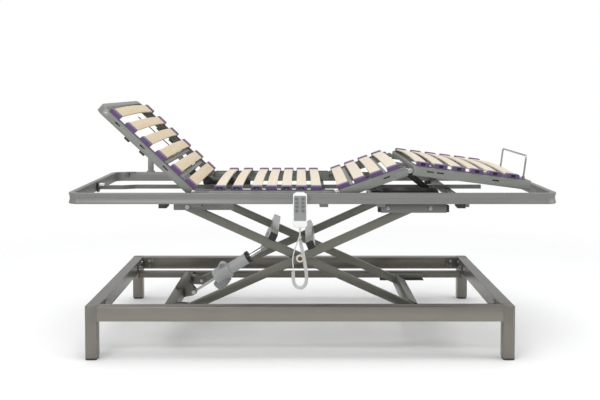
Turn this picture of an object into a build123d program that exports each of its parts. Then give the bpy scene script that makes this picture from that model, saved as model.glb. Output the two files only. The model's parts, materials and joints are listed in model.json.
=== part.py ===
from build123d import *
import math
import os

# Adjustable bed base: a floor frame, a pair of scissor arms with an electric lift actuator, and a
# sprung-slat platform whose back, thigh and lower-leg sections tilt.
# Millimetres. +X runs to the foot end, +Y away from the handset side, +Z up, feet on Z = 0.
# Everything is laid out about the scissor's crossing (X = 0) and moved by SHIFT_X when it is saved, so
# that the origin is the middle of the platform's length.

# ---- driving dimensions: floor frame ----
BASE_L = 1760.0          # outside length
BASE_W = 1060.0          # outside width
BASE_TOP = 220.0         # top of the rails
RAIL_W = 50.0            # rail and leg width
RAIL_H = 60.0            # rail height
TUBE_WALL = 3.0          # wall of the frame tubes
LEG_ROUND = 14.0         # rounded outer edge of a leg
GLIDE_H = 8.0            # plastic glide under a leg
INNER_Y = 380.0          # middle of an inner rail
INNER_W = 30.0
INNER_H = 32.0

# ---- driving dimensions: scissor ----
ARM_HALF = 540.0         # pivot to crossing
LIFT_REST = 24.25        # arm angle at rest, degrees
LIFT_MIN = 14.7          # arm angle with the platform down
LIFT_MAX = 31.2          # arm angle with the platform up
LOW_Z = 148.0            # height of the lower pivots
ARM_D = 36.0             # arm tube depth
ARM_T = 20.0             # arm tube thickness
ARM_WALL = 2.0
ARM_A_Y = 272.0          # middle of an outer arm
ARM_B_Y = 248.0          # middle of an inner arm
PIN_R = 8.0              # pivot pins and axles
RUN_FIT = 0.05           # radial clearance of a pin that turns
CROSS_W = 33.0           # square cross tubes on the arms
ROLLER_R = 12.0
ROLLER_W = 22.0
ROLLER_GAP = 0.5         # roller to guide flange
GUIDE_T = 3.0            # guide sheet thickness

# ---- driving dimensions: platform ----
PLAT_L = 2048.0
PLAT_W = 900.0
PLAT_CENTRE_X = 52.0     # middle of the platform from the scissor's crossing
PLAT_TOP = 675.0
PLAT_H = 45.0
PLAT_T = 24.0            # rim width
PLAT_R = 55.0            # outer corner radius in plan
PLAT_WALL = 3.0
POST_TOP = 746.0         # top of the guard post
WAIST = 3.5              # depth of the hollow along the rim's outer face
CROSS_H = 24.0           # cross members
CROSS_X_W = 36.0
ARM_CLEAR = 1.423        # arm end to the head channel's roof
CHANNEL_ROOF = 3.0
CENTRE_Y = 30.0          # centre rail
CENTRE_W = 16.0
CENTRE_H = 18.0

# ---- driving dimensions: slatted sections ----
SECTION_TOP = 682.0      # top of the section rails when flat
SECTION_D = 40.0         # section rail depth
BACK_D = 32.0            # the back's rails are slimmer
BEND_R = 45.0            # outer radius of the back's rounded end
BEND_L = 60.0            # length of the piece with the bends
SECTION_T = 20.0         # section rail thickness
SECTION_WALL = 1.6
SEAT_Y = 401.0           # middle of a seat rail
MOVE_Y = 400.0           # middle of a back or thigh rail
LEG_Y = 399.0            # middle of a lower-leg rail
BACK_X = -445.0          # back hinge
THIGH_X = 157.0          # thigh hinge
HINGE_DROP = 7.0         # back and thigh hinges below the rail tops
KNEE_ALONG = 317.0       # knee hinge from the thigh hinge
KNEE_DROP = 22.0         # knee hinge below the rail tops
BACK_L = 536.0
BACK_LOW = 4.0           # the back's end then lies just above the rim's head rail
LEG_L = 510.0
BACK_REST = 43.0         # section angles at rest, degrees
THIGH_REST = 19.5
KNEE_RATIO = 1.38        # lower leg turns down this much per degree of thigh
HINGE_END = 9.0          # rail end to hinge
KNEE_END = 13.0
HINGE_PIN_R = 5.0
LUG_T = 4.0
BAR = 20.0               # section cross bars
SLAT_W = 42.0            # seat slats
WIDE_SLAT_W = 48.0       # slats of the moving sections
SLAT_T = 8.0
SLAT_RISE = 11.0
SLAT_HALF = 397.0        # slat half length
CAP_SIDE = 2.5           # cap beyond a slat on each side
CAP_H = 19.0
CAP_IN = 370.0           # inner end of a cap
CAP_OUT = 412.0
SLAT_SEAT = 5.0          # slat end above the rail
CAP_FIT = 0.3            # slat to cap
FIRST_BACK_CAP = 7.5     # hinge to the first cap's edge
FIRST_THIGH_CAP = 6.5
BACK_SLATS = [FIRST_BACK_CAP + CAP_SIDE + WIDE_SLAT_W / 2 + 86.0 * i for i in range(6)]
SEAT_SLATS = [-338.0, -265.0, -183.0, -120.0, -57.0, 6.0, 69.0]
THIGH_SLATS = [FIRST_THIGH_CAP + CAP_SIDE + WIDE_SLAT_W / 2 + 74.0 * i for i in range(4)]
LEG_SLATS = [52.0 + 76.0 * i for i in range(6)]

# ---- driving dimensions: section drives ----
BACK_SHAFT = (-440.0, 663.0)
BACK_LEVER = 140.0
BACK_LEVER_REST = 23.0
BACK_LEVER_Y = 200.0
LEG_SHAFT = (606.0, 633.0)
LEG_LEVER = 150.0
LEG_LEVER_REST = 38.0
LEG_LEVER_Y = -20.0
BACK_PUSH = 37.5         # push rail's underside below the back hinge
LEG_PUSH = 22.0          # push rail's underside below the knee hinge
PUSH_W = 24.0            # width of a push rail
LEVER_R = 14.0           # lever roller and hub
LEVER_T = 12.0           # lever arm, which passes beside the push rail
LEVER_GAP = 3.0
SHAFT_R = 10.0

# ---- driving dimensions: lift actuator ----
REAR_PIN = (-497.0, 156.0)
ROD_PIN = (-170.0, 365.0)
ACT_PIN_R = 6.0
ACT_TUBE_R = 26.0
ACT_BORE_R = 23.0
ACT_ROD_R = 10.0
ACT_BODY = (118.0, 200.0)     # gearbox, from the rear pin
ACT_MOUTH = 310.0             # end of the outer tube

# ---- driving dimensions: handset and cord ----
HAND_W = 58.0
HAND_T = 26.0
HAND_BOTTOM = 537.0
HAND_TOP = 678.0
BUTTON_X = [-13.0, 12.5]
BUTTON_Z = [655.0, 639.0, 622.5, 606.0]
BUTTON_W = 14.0
BUTTON_H = 11.0
BUTTON_TRAVEL = 1.0
LEAD_D = 5.0
CURL_D = 16.0
CORD = [
    (0, -465, 518), (0, -465, 501), (-15, -464, 463), (-27, -463, 428), (-31, -462, 397),
    (-28, -461, 371), (-28.5, -460, 343), (-28, -458.5, 317), (-23, -457, 295), (-9, -454, 281),
    (11, -452, 281), (25, -449, 296), (28, -447, 324), (24, -445, 358), (18, -443.5, 394),
    (11, -442, 430), (3, -441, 463), (0, -440, 500), (1, -439.5, 540), (3.5, -439, 574),
    (3.5, -439, 600),
]
CURL_FROM, CURL_TO = 5, 16    # the curled stretch runs between the middles of these runs

# ---- worked-out places ----
SHIFT_X = -PLAT_CENTRE_X
REST = math.radians(LIFT_REST)
PIVOT_X = -ARM_HALF * math.cos(REST)
PIVOT_Z = LOW_Z + 2 * ARM_HALF * math.sin(REST)
MID_Z = LOW_Z + ARM_HALF * math.sin(REST)
PLAT_X0 = PLAT_CENTRE_X - PLAT_L / 2
PLAT_X1 = PLAT_CENTRE_X + PLAT_L / 2
PLAT_Y = PLAT_W / 2
PLAT_BOTTOM = PLAT_TOP - PLAT_H
CROSS_BOTTOM = PIVOT_Z + ARM_D / 2 + ARM_CLEAR + CHANNEL_ROOF
CROSS_TOP = CROSS_BOTTOM + CROSS_H
HINGE_Z = SECTION_TOP - HINGE_DROP
KNEE = (THIGH_X + KNEE_ALONG, SECTION_TOP - KNEE_DROP)
CROSS_XS = [BACK_X + 15, BACK_X + 135, THIGH_X - 57, THIGH_X + 183, THIGH_X + 533]
SLIDE_LOW = 2 * ARM_HALF * math.cos(math.radians(LIFT_MAX)) + PIVOT_X
SLIDE_HIGH = 2 * ARM_HALF * math.cos(math.radians(LIFT_MIN)) + PIVOT_X
GUIDE_X0 = SLIDE_LOW - ROLLER_R - 12
GUIDE_X1 = SLIDE_HIGH + ROLLER_R + 65
GUIDE_IN = ROLLER_R + ROLLER_GAP
TOP_GUIDE_Y = ARM_A_Y + ARM_T / 2 + 20 + ROLLER_W + GUIDE_T + 4
ACT_ANGLE = math.degrees(math.atan2(ROD_PIN[1] - REAR_PIN[1], ROD_PIN[0] - REAR_PIN[0]))
ACT_LENGTH = math.hypot(ROD_PIN[0] - REAR_PIN[0], ROD_PIN[1] - REAR_PIN[1])


# ---- shape helpers ----
def block(x0, x1, y0, y1, z0, z1):
    """A box between two corners."""
    return Pos((x0 + x1) / 2, (y0 + y1) / 2, (z0 + z1) / 2) * Box(x1 - x0, y1 - y0, z1 - z0)


def tube_x(x0, x1, y, w, z0, z1, wall):
    """A rectangular tube along X, open at both ends."""
    outer = block(x0, x1, y - w / 2, y + w / 2, z0, z1)
    return outer - block(x0 - 1, x1 + 1, y - w / 2 + wall, y + w / 2 - wall, z0 + wall, z1 - wall)


def tube_y(x, w, y0, y1, z0, z1, wall):
    """A rectangular tube along Y, open at both ends."""
    outer = block(x - w / 2, x + w / 2, y0, y1, z0, z1)
    return outer - block(x - w / 2 + wall, x + w / 2 - wall, y0 - 1, y1 + 1, z0 + wall, z1 - wall)


def rod_y(x, z, y0, y1, r):
    """A round bar along Y."""
    return Pos(x, (y0 + y1) / 2, z) * Rot(90, 0, 0) * Cylinder(r, y1 - y0)


def rod_x(x0, x1, y, z, r):
    """A round bar along X."""
    return Pos((x0 + x1) / 2, y, z) * Rot(0, 90, 0) * Cylinder(r, x1 - x0)


def plate(points, y0, y1):
    """A flat plate: an outline of (x, z) points between two Y planes."""
    face = make_face(Polyline(*[(x, z) for x, z in points], close=True))
    return extrude(Plane.XZ.offset(-y1) * face, amount=y1 - y0)


def link(p, q, r, y0, y1):
    """A flat link with round ends between two (x, z) points."""
    dx, dz = q[0] - p[0], q[1] - p[1]
    slot = SlotCenterToCenter(math.hypot(dx, dz), 2 * r)
    middle = Pos((p[0] + q[0]) / 2, (p[1] + q[1]) / 2) * Rot(0, 0, math.degrees(math.atan2(dz, dx)))
    return extrude(Plane.XZ.offset(-y1) * middle * slot, amount=y1 - y0)


def both(shape):
    """The shape and its mirror image across the middle of the bed."""
    return [shape, mirror(shape, about=Plane.XZ)]


def bolt_y(x, z, y_head, y_end, r, head_r, head_t):
    """A bolt along Y: its head stands outside y_head, its shank runs to y_end."""
    out = 1 if y_head > y_end else -1
    head = rod_y(x, z, min(y_head, y_head + out * head_t), max(y_head, y_head + out * head_t), head_r)
    return head + rod_y(x, z, min(y_head, y_end), max(y_head, y_end), r)


def turn(shape, x, z, degrees):
    """The shape turned about a Y axis through (x, z); positive raises its -X side."""
    return shape.rotate(Axis((x, 0, z), (0, 1, 0)), degrees)


# ---- floor frame ----
def base_frame():
    """Rails, legs, glides, corner brackets, inner frame, guides, pivot brackets and their bolts."""
    hx, hy = BASE_L / 2, BASE_W / 2
    z0 = BASE_TOP - RAIL_H
    inner_x, inner_y = hx - RAIL_W, hy - RAIL_W
    bolt_r, bolt_hole = 4.0, 4.2
    bracket_t, bracket_leg = 4.0, 64.0
    bolt_z = (z0 + 16, z0 + 42)

    side = tube_x(-inner_x, inner_x, hy - RAIL_W / 2, RAIL_W, z0, BASE_TOP, TUBE_WALL)
    end = tube_y(hx - RAIL_W / 2, RAIL_W, -inner_y, inner_y, z0, BASE_TOP, TUBE_WALL)
    bolts = []
    for sx in (-1, 1):
        for z in bolt_z:
            x = sx * (inner_x - bracket_leg * 0.6)
            side -= rod_y(x, z, inner_y - 1, inner_y + TUBE_WALL + 1, bolt_hole)
            bolts += both(bolt_y(x, z, inner_y - bracket_t, inner_y + TUBE_WALL + 6, bolt_r, 7, 5))
            y = sx * (inner_y - bracket_leg * 0.6)
            end -= rod_x(inner_x - 1, inner_x + TUBE_WALL + 1, y, z, bolt_hole)
            for ex in (-1, 1):
                head = rod_x(inner_x - bracket_t - 5, inner_x - bracket_t, y, z, 7)
                shank = rod_x(inner_x - bracket_t, inner_x + TUBE_WALL + 6, y, z, bolt_r)
                bolts.append(Rot(0, 0, 0 if ex > 0 else 180) * (head + shank))
    hanger_y, hanger_w, hanger_t = INNER_Y, 54.0, 5.0
    low = LOW_Z - INNER_H / 2 + 6
    for sy in (-1, 1):
        y = sy * hanger_y
        end -= rod_x(inner_x - 1, inner_x + TUBE_WALL + 1, y, z0 + 30, bolt_hole)
        for ex in (-1, 1):
            head = rod_x(inner_x - hanger_t - 5, inner_x - hanger_t, y, z0 + 30, 7)
            shank = rod_x(inner_x - hanger_t, inner_x + TUBE_WALL + 6, y, z0 + 30, bolt_r)
            bolts.append(Rot(0, 0, 0 if ex > 0 else 180) * (head + shank))
    rails = both(side) + [end, Rot(0, 0, 180) * end]

    leg = block(inner_x, hx, inner_y, hy, GLIDE_H, BASE_TOP)
    leg = fillet(leg.edges().filter_by(Axis.Z).sort_by(lambda e: e.center().X + e.center().Y)[-1], LEG_ROUND)
    wall = TUBE_WALL
    leg -= block(inner_x + wall, hx - wall - 3, inner_y + wall, hy - wall - 3, GLIDE_H - 1, BASE_TOP - wall)
    glide = block(inner_x + 1, hx - 1, inner_y + 1, hy - 1, 0, GLIDE_H)
    glide = fillet(glide.edges().filter_by(Axis.Z), LEG_ROUND - 2)
    glide += block(inner_x + wall + 0.5, hx - wall - 3.5, inner_y + wall + 0.5, hy - wall - 3.5, GLIDE_H, 24)
    legs, glides = [], []
    for sx, sy in ((1, 1), (-1, 1), (-1, -1), (1, -1)):
        for shape, group in ((leg, legs), (glide, glides)):
            piece = shape if sx > 0 else mirror(shape, about=Plane.YZ)
            group.append(piece if sy > 0 else mirror(piece, about=Plane.XZ))

    plate_a = block(inner_x - bracket_leg, inner_x, inner_y - bracket_t, inner_y, z0 + 6, BASE_TOP - 8)
    plate_b = block(inner_x - bracket_t, inner_x, inner_y - bracket_leg, inner_y, z0 + 6, BASE_TOP - 8)
    bracket = plate_a + plate_b
    for z in bolt_z:
        x, y = inner_x - bracket_leg * 0.6, inner_y - bracket_leg * 0.6
        bracket -= rod_y(x, z, inner_y - bracket_t - 1, inner_y + 1, bolt_hole)
        bracket -= rod_x(inner_x - bracket_t - 1, inner_x + 1, y, z, bolt_hole)
    brackets = []
    for sx, sy in ((1, 1), (-1, 1), (-1, -1), (1, -1)):
        piece = bracket if sx > 0 else mirror(bracket, about=Plane.YZ)
        brackets.append(piece if sy > 0 else mirror(piece, about=Plane.XZ))

    # inner rails hang from the end rails on bolted plates; the head cross tube joins them
    rail = tube_x(-inner_x + hanger_t, inner_x - hanger_t, INNER_Y, INNER_W, low, low + INNER_H, 2.5)
    for ex in (-1, 1):
        x0 = inner_x - hanger_t if ex > 0 else -inner_x
        hanger = block(x0, x0 + hanger_t, INNER_Y - hanger_w / 2, INNER_Y + hanger_w / 2, low, z0 + 48)
        rail += hanger - rod_x(x0 - 1, x0 + hanger_t + 1, INNER_Y, z0 + 30, bolt_hole)
    inner_face = INNER_Y - INNER_W / 2
    tube_x0, tube_w = PIVOT_X - 96, 46.0
    head_tube = tube_y(tube_x0 + tube_w / 2, tube_w, -inner_face, inner_face, LOW_Z - 18, LOW_Z + 27, TUBE_WALL)
    inner_frame = both(rail) + [head_tube]

    guide = guide_channel(GUIDE_X0, GUIDE_X1, inner_face, LOW_Z, GUIDE_T)
    lug_y = ARM_A_Y - ARM_T / 2 - 2
    lug_x = tube_x0 + tube_w
    lug_shape = [(lug_x, LOW_Z - 18), (PIVOT_X + 8, LOW_Z - 20), (PIVOT_X + 20, LOW_Z - 8),
                 (PIVOT_X + 20, LOW_Z + 10), (PIVOT_X + 8, LOW_Z + 22), (lug_x, LOW_Z + 27)]
    plates = []
    for y0 in (lug_y - LUG_T, ARM_A_Y + ARM_T / 2 + 2):
        lug = plate(lug_shape, y0, y0 + LUG_T) - rod_y(PIVOT_X, LOW_Z, y0 - 1, y0 + LUG_T + 1, PIN_R + RUN_FIT)
        plates += both(lug)
    outer_y = ARM_A_Y + ARM_T / 2 + 2 + LUG_T
    pin = bolt_y(PIVOT_X, LOW_Z, outer_y + 0.2, lug_y - LUG_T - 6, PIN_R, 13, 5)
    bolts += both(pin)

    # actuator bracket: two plates that lean over the head cross tube
    px, pz = REAR_PIN
    top = LOW_Z + 27
    lean = [(lug_x, LOW_Z - 16), (px - 2, pz - 15), (px + 13, pz - 6), (px + 13, pz + 8), (px - 22, pz + 50),
            (px - 15, pz + 94), (px - 38, pz + 94), (tube_x0 + 6, top + 8), (tube_x0 + 6, top), (lug_x, top)]
    for y0 in (12.0, -12.0 - LUG_T):
        shape = plate(lean, y0, y0 + LUG_T) - rod_y(px, pz, y0 - 1, y0 + LUG_T + 1, ACT_PIN_R + RUN_FIT)
        plates.append(shape)
    web = plate([(px - 22, pz + 92), (px - 38, pz + 92), (tube_x0 + 10, top + 10), (tube_x0 + 22, top + 10)],
                -12, 12)
    plates.append(web)
    bolts.append(bolt_y(px, pz, -12 - LUG_T, 12 + LUG_T + 4, ACT_PIN_R, 10, 4))
    return {
        "base_rails": rails, "base_legs": legs, "foot_glides": glides, "corner_brackets": brackets,
        "inner_frame": inner_frame, "base_roller_guides": both(guide), "pivot_brackets": plates,
        "base_bolts": bolts,
    }


def guide_channel(x0, x1, web_y, z, top_t):
    """A C-shaped roller guide whose web lies on Y = web_y and whose flanges point at the middle."""
    depth = ROLLER_W + 15
    outer = block(x0, x1, web_y - depth, web_y, z - GUIDE_IN - GUIDE_T, z + GUIDE_IN + top_t)
    return outer - block(x0 - 1, x1 + 1, web_y - depth - 1, web_y - GUIDE_T, z - GUIDE_IN, z + GUIDE_IN)


# ---- scissor ----
def arm_bar(y):
    """An arm tube along X from its end pivot at the origin, with round-cut ends and pivot sleeves."""
    length = 2 * ARM_HALF
    ends = link((0, 0), (length, 0), ARM_D / 2, y - ARM_T / 2, y + ARM_T / 2)
    hollow = block(-ARM_D, length + ARM_D, y - ARM_T / 2 + ARM_WALL, y + ARM_T / 2 - ARM_WALL,
                   -ARM_D / 2 + ARM_WALL, ARM_D / 2 - ARM_WALL)
    bar = ends - hollow
    for x in (0, ARM_HALF, length):
        bar += rod_y(x, 0, y - ARM_T / 2, y + ARM_T / 2, PIN_R + 4)
        bar -= rod_y(x, 0, y - ARM_T, y + ARM_T, PIN_R + RUN_FIT)
    return bar


def wheelset(y_mid):
    """An axle with a roller near each end, about the origin."""
    axle = rod_y(0, 0, -y_mid - ROLLER_W / 2 - 2, y_mid + ROLLER_W / 2 + 2, PIN_R)
    for y in (-y_mid, y_mid):
        wheel = rod_y(0, 0, y - ROLLER_W / 2, y + ROLLER_W / 2, ROLLER_R)
        axle += chamfer(wheel.edges().filter_by(GeomType.CIRCLE), 1.5)
        axle += rod_y(0, 0, y - ROLLER_W / 2 - 4, y + ROLLER_W / 2, PIN_R + 4)
    return axle


def scissor():
    """Both arm pairs, their cross tubes, the crossing pins, the lift clevis and the wheelsets."""
    place_a = Pos(PIVOT_X, 0, LOW_Z) * Rot(0, -LIFT_REST, 0)
    place_b = Pos(PIVOT_X, 0, PIVOT_Z) * Rot(0, LIFT_REST, 0)
    bars_a = [place_a * s for s in both(arm_bar(ARM_A_Y))]
    bars_b = [place_b * s for s in both(arm_bar(ARM_B_Y))]

    top = ARM_D / 2
    out_a, out_b = ARM_A_Y + ARM_T / 2, ARM_B_Y + ARM_T / 2
    cross_a = place_a * tube_y(ARM_HALF + 66, CROSS_W, -out_a, out_a, top, top + CROSS_W, 2)
    cross_b_x = ARM_HALF - 145
    cross_b = place_b * tube_y(cross_b_x, CROSS_W, -out_b, out_b, top, top + CROSS_W, 2)
    foot_y = ARM_B_Y - ARM_T / 2
    foot = place_b * tube_y(2 * ARM_HALF, 44, -foot_y, foot_y, -22, 22, TUBE_WALL)

    # the rod pin in arm B's own axes
    dx, dz = ROD_PIN[0] - PIVOT_X, ROD_PIN[1] - PIVOT_Z
    tx = dx * math.cos(REST) - dz * math.sin(REST)
    tz = dx * math.sin(REST) + dz * math.cos(REST)
    ear = [(cross_b_x - 26, top), (cross_b_x + 26, top), (tx + 15, tz - 4), (tx + 6, tz - 15),
           (tx - 6, tz - 15), (tx - 15, tz - 4)]
    clevis = []
    for y0 in (12.0, -12.0 - LUG_T):
        flat = plate(ear, y0, y0 + LUG_T) - rod_y(tx, tz, y0 - 1, y0 + LUG_T + 1, ACT_PIN_R + RUN_FIT)
        clevis.append(place_b * flat)
    clevis.append(place_b * bolt_y(tx, tz, -12 - LUG_T, 12 + LUG_T + 4, ACT_PIN_R, 9, 4))

    pin = bolt_y(0, MID_Z, out_a + 4.4, ARM_B_Y - ARM_T / 2 - 6, PIN_R, 9, 3)
    washer = rod_y(0, MID_Z, out_a + 0.3, out_a + 4.3, 17) - rod_y(0, MID_Z, out_a, out_a + 5, PIN_R + RUN_FIT)
    low = Pos(-PIVOT_X, 0, LOW_Z) * wheelset(INNER_Y - INNER_W / 2 - GUIDE_T - 4 - ROLLER_W / 2)
    high = Pos(-PIVOT_X, 0, PIVOT_Z) * wheelset(TOP_GUIDE_Y - GUIDE_T - 4 - ROLLER_W / 2)
    return {
        "arm_a_bars": bars_a, "arm_a_cross_tube": [cross_a], "arm_b_bars": bars_b,
        "arm_b_cross_tube": [cross_b], "arm_b_foot_tube": [foot], "lift_clevis": clevis,
        "centre_pivots": both(pin) + both(washer), "low_wheelset": [low], "top_wheelset": [high],
    }


# ---- lift actuator ----
def rod_reach():
    """Shortest and longest distance between the actuator's pins over the lift's travel."""
    out = []
    dx, dz = ROD_PIN[0], ROD_PIN[1] - MID_Z
    along = -dx * math.cos(REST) + dz * math.sin(REST)
    below = -dx * math.sin(REST) - dz * math.cos(REST)
    steps = 24
    for i in range(steps + 1):
        a = math.radians(LIFT_MIN + (LIFT_MAX - LIFT_MIN) * i / steps)
        x = PIVOT_X + (ARM_HALF - along) * math.cos(a) - below * math.sin(a)
        z = LOW_Z + (ARM_HALF + along) * math.sin(a) - below * math.cos(a)
        out.append(math.hypot(x - REAR_PIN[0], z - REAR_PIN[1]))
    return min(out), max(out)


def lift_actuator():
    """Gearbox, motor and outer tube about the rear pin, and the inner tube about the rod pin."""
    place = Pos(REAR_PIN[0], 0, REAR_PIN[1]) * Rot(0, -ACT_ANGLE, 0)
    b0, b1 = ACT_BODY
    body = rod_x(b0, b1, 0, 0, 36)
    body = fillet(body.edges().filter_by(GeomType.CIRCLE), 9)
    body += rod_x(10, b0 + 4, 0, 0, ACT_PIN_R)
    body += rod_y(0, 0, -10, 10, ACT_PIN_R + 6) - rod_y(0, 0, -11, 11, ACT_PIN_R + RUN_FIT)
    knob = rod_y(b1 - 22, 30, -24, 24, 19)
    body += fillet(knob.edges().filter_by(GeomType.CIRCLE), 6)
    for i in range(3):
        x = b0 + 22 + 12 * i
        body += rod_x(x, x + 5, 0, 0, 38.5)
    motor = Cylinder(29, 70)
    motor = chamfer(motor.edges().filter_by(GeomType.CIRCLE), 4)
    motor = Pos(b0 + 20, 0, -31) * Rot(0, 68, 0) * motor
    motor -= body
    motor = max(motor.solids(), key=lambda s: s.volume)
    tube = rod_x(b1, ACT_MOUTH, 0, 0, ACT_TUBE_R) + rod_x(ACT_MOUTH - 8, ACT_MOUTH, 0, 0, ACT_TUBE_R + 1.5)
    tube -= rod_x(b1 + 5, ACT_MOUTH + 1, 0, 0, ACT_BORE_R)
    shortest, _ = rod_reach()
    length = shortest - (b1 + 5) - 4
    rod = rod_x(ACT_LENGTH - length, ACT_LENGTH - 8, 0, 0, ACT_ROD_R)
    rod += rod_y(ACT_LENGTH, 0, -10, 10, ACT_PIN_R + 8)
    rod -= rod_y(ACT_LENGTH, 0, -11, 11, ACT_PIN_R + RUN_FIT)
    return {
        "lift_gearbox": [place * body], "lift_motor": [place * motor], "lift_outer_tube": [place * tube],
        "lift_inner_tube": [place * rod],
    }


# ---- platform ----
def rim_face():
    """Section of the platform rim: local x is outwards from its inner face, y is height."""
    t, h, lip = PLAT_T, PLAT_H, 6.0
    line = Polyline((0, 0), (t, 0), (t, lip))
    waist = ThreePointArc((t, lip), (t - WAIST, h / 2), (t, h - lip))
    close = Polyline((t, h - lip), (t, h), (0, h), (0, 0))
    outline = make_face(line + waist + close)
    w = PLAT_WALL
    hollow = Pos(w + (t - WAIST - 2 * w) / 2, h / 2) * Rectangle(t - WAIST - 2 * w, h - 2 * w)
    return outline - hollow


def platform():
    """Rim, cross members, centre rail, scissor channels and guides, seat section and small parts."""
    z0 = PLAT_BOTTOM
    face = rim_face()
    x_mid = PLAT_CENTRE_X
    straight_x = PLAT_L - 2 * PLAT_R
    straight_y = PLAT_W - 2 * PLAT_R
    far = Plane(origin=(x_mid - straight_x / 2, PLAT_Y - PLAT_T, z0), x_dir=(0, 1, 0), z_dir=(1, 0, 0))
    side = extrude(far * face, amount=straight_x)
    foot = Plane(origin=(PLAT_X1 - PLAT_T, straight_y / 2, z0), x_dir=(1, 0, 0), z_dir=(0, -1, 0))
    end = extrude(foot * face, amount=straight_y)
    cx, cy = PLAT_X1 - PLAT_R, PLAT_Y - PLAT_R
    start = Plane(origin=(cx + PLAT_R - PLAT_T, cy, z0), x_dir=(1, 0, 0), z_dir=(0, -1, 0))
    corner = revolve(start * face, Axis((cx, cy, 0), (0, 0, 1)), 90)
    around = Plane.YZ.offset(x_mid)
    corners = both(corner) + [mirror(s, about=around) for s in both(corner)]
    rails = both(side) + [end, mirror(end, about=around)]

    inside = PLAT_Y - PLAT_T
    members = []
    for x in CROSS_XS:
        member = tube_y(x, CROSS_X_W, -inside + LUG_T, inside - LUG_T, CROSS_BOTTOM, CROSS_TOP, 2)
        for s in (-1, 1):
            y0 = inside - LUG_T if s > 0 else -inside
            member += block(x - CROSS_X_W / 2, x + CROSS_X_W / 2, y0, y0 + LUG_T, CROSS_BOTTOM, CROSS_TOP + 12)
        members.append(member)

    head_in = PLAT_X0 + PLAT_T
    jog = [(head_in, CENTRE_Y - 25), (head_in + 120, CENTRE_Y - 25), (head_in + 175, CENTRE_Y),
           (THIGH_X + 694, CENTRE_Y)]
    half = CENTRE_W / 2
    path = FilletPolyline(*[(x, y, CROSS_TOP) for x, y in jog], radius=40)
    strip = Plane(origin=path @ 0, x_dir=(0, 1, 0), z_dir=path % 0) * Pos(0, CENTRE_H / 2) * Rectangle(
        2 * half, CENTRE_H)
    centre = sweep(strip, path=path)

    # channels that carry the upper pivots of arms B
    c_in, c_out = ARM_B_Y - ARM_T / 2 - 2, ARM_B_Y + ARM_T / 2 + 2
    ch_x0, ch_x1 = PIVOT_X - 60, CROSS_XS[1] + CROSS_X_W / 2
    channel = block(ch_x0, ch_x1, c_in - LUG_T, c_out + LUG_T, PIVOT_Z - 13, CROSS_BOTTOM)
    channel -= block(ch_x0 - 1, ch_x1 + 1, c_in, c_out, PIVOT_Z - 14, CROSS_BOTTOM - CHANNEL_ROOF)
    channel -= rod_y(PIVOT_X, PIVOT_Z, c_in - 10, c_out + 10, PIN_R + RUN_FIT)
    bolts = both(bolt_y(PIVOT_X, PIVOT_Z, c_out + LUG_T + 0.2, c_in - LUG_T - 5, PIN_R, 10, 4))
    for x in (CROSS_XS[1], PIVOT_X + 30):
        bolts += both(rod_y(x, PIVOT_Z + 10, c_out + LUG_T, c_out + LUG_T + 5, 6))

    guide = guide_channel(GUIDE_X0 - 60, GUIDE_X1, TOP_GUIDE_Y, PIVOT_Z, CROSS_BOTTOM - PIVOT_Z - GUIDE_IN)
    for x in (GUIDE_X0 - 30, GUIDE_X1 - 70):
        bolts += both(rod_y(x, PIVOT_Z + 7, TOP_GUIDE_Y, TOP_GUIDE_Y + 5, 6))

    # fixed seat section
    s0, s1 = BACK_X + HINGE_END, THIGH_X - HINGE_END
    seat = tube_x(s0, s1, SEAT_Y, SECTION_T, CROSS_TOP, SECTION_TOP, SECTION_WALL)
    y_lug = SEAT_Y + SECTION_T / 2
    for x, inner in ((BACK_X, s0 + 50), (THIGH_X, s1 - 50)):
        lug = [(x, HINGE_Z - 9), (x, HINGE_Z + 7), (inner, SECTION_TOP), (inner, CROSS_TOP + 6)]
        flat = plate(lug, y_lug, y_lug + LUG_T) + rod_y(x, HINGE_Z, y_lug, y_lug + LUG_T, 9)
        seat += flat - rod_y(x, HINGE_Z, y_lug - 1, y_lug + LUG_T + 1, HINGE_PIN_R + RUN_FIT)
        seat -= rod_y(x, HINGE_Z, y_lug - 1, y_lug + LUG_T + 1, HINGE_PIN_R + RUN_FIT)
        pin_in = MOVE_Y - SECTION_T / 2 - LUG_T - 3
        bolts += both(bolt_y(x, HINGE_Z, y_lug + LUG_T + 0.1, pin_in, HINGE_PIN_R, 8, 4))
    slats, caps = slat_row(SEAT_SLATS, 0, SECTION_TOP, 1, SLAT_W)

    stop = [(-21, 0), (21, 0), (21, -9), (12, -18), (-21, -18)]
    stops = []
    for x, s in ((BACK_X - 122, 1), (THIGH_X + 510, -1)):
        shape = plate([(x + s * a, z0 + b) for a, b in stop], PLAT_Y - PLAT_T, PLAT_Y - 2)
        stops += both(shape)
    post_x = PLAT_X0 + 198
    post = block(post_x - 14, post_x + 14, PLAT_Y - 21, PLAT_Y - 3, PLAT_TOP, POST_TOP)
    post += block(post_x - 20, post_x + 20, PLAT_Y - 23, PLAT_Y - 1, PLAT_TOP, PLAT_TOP + 6)
    return {
        "platform_rails": rails, "platform_corners": corners, "cross_members": members,
        "centre_rail": [centre], "head_channels": both(channel), "platform_roller_guides": both(guide),
        "seat_rails": both(seat), "seat_slats": slats, "seat_caps": caps, "platform_bolts": bolts,
        "stop_blocks": stops, "guard_post": [post],
    }


# ---- slats ----
def arch(half, low, rise, gap):
    """The end view of a bowed slat in (y, z), its middle bowed up; gap grows it all round."""
    z = low - gap
    t = SLAT_T + 2 * gap
    under = ThreePointArc((-half, z), (0, z + rise), (half, z))
    right = Line((half, z), (half, z + t))
    over = ThreePointArc((half, z + t), (0, z + rise + t), (-half, z + t))
    left = Line((-half, z + t), (-half, z))
    return make_face(under + right + over + left)


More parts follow.
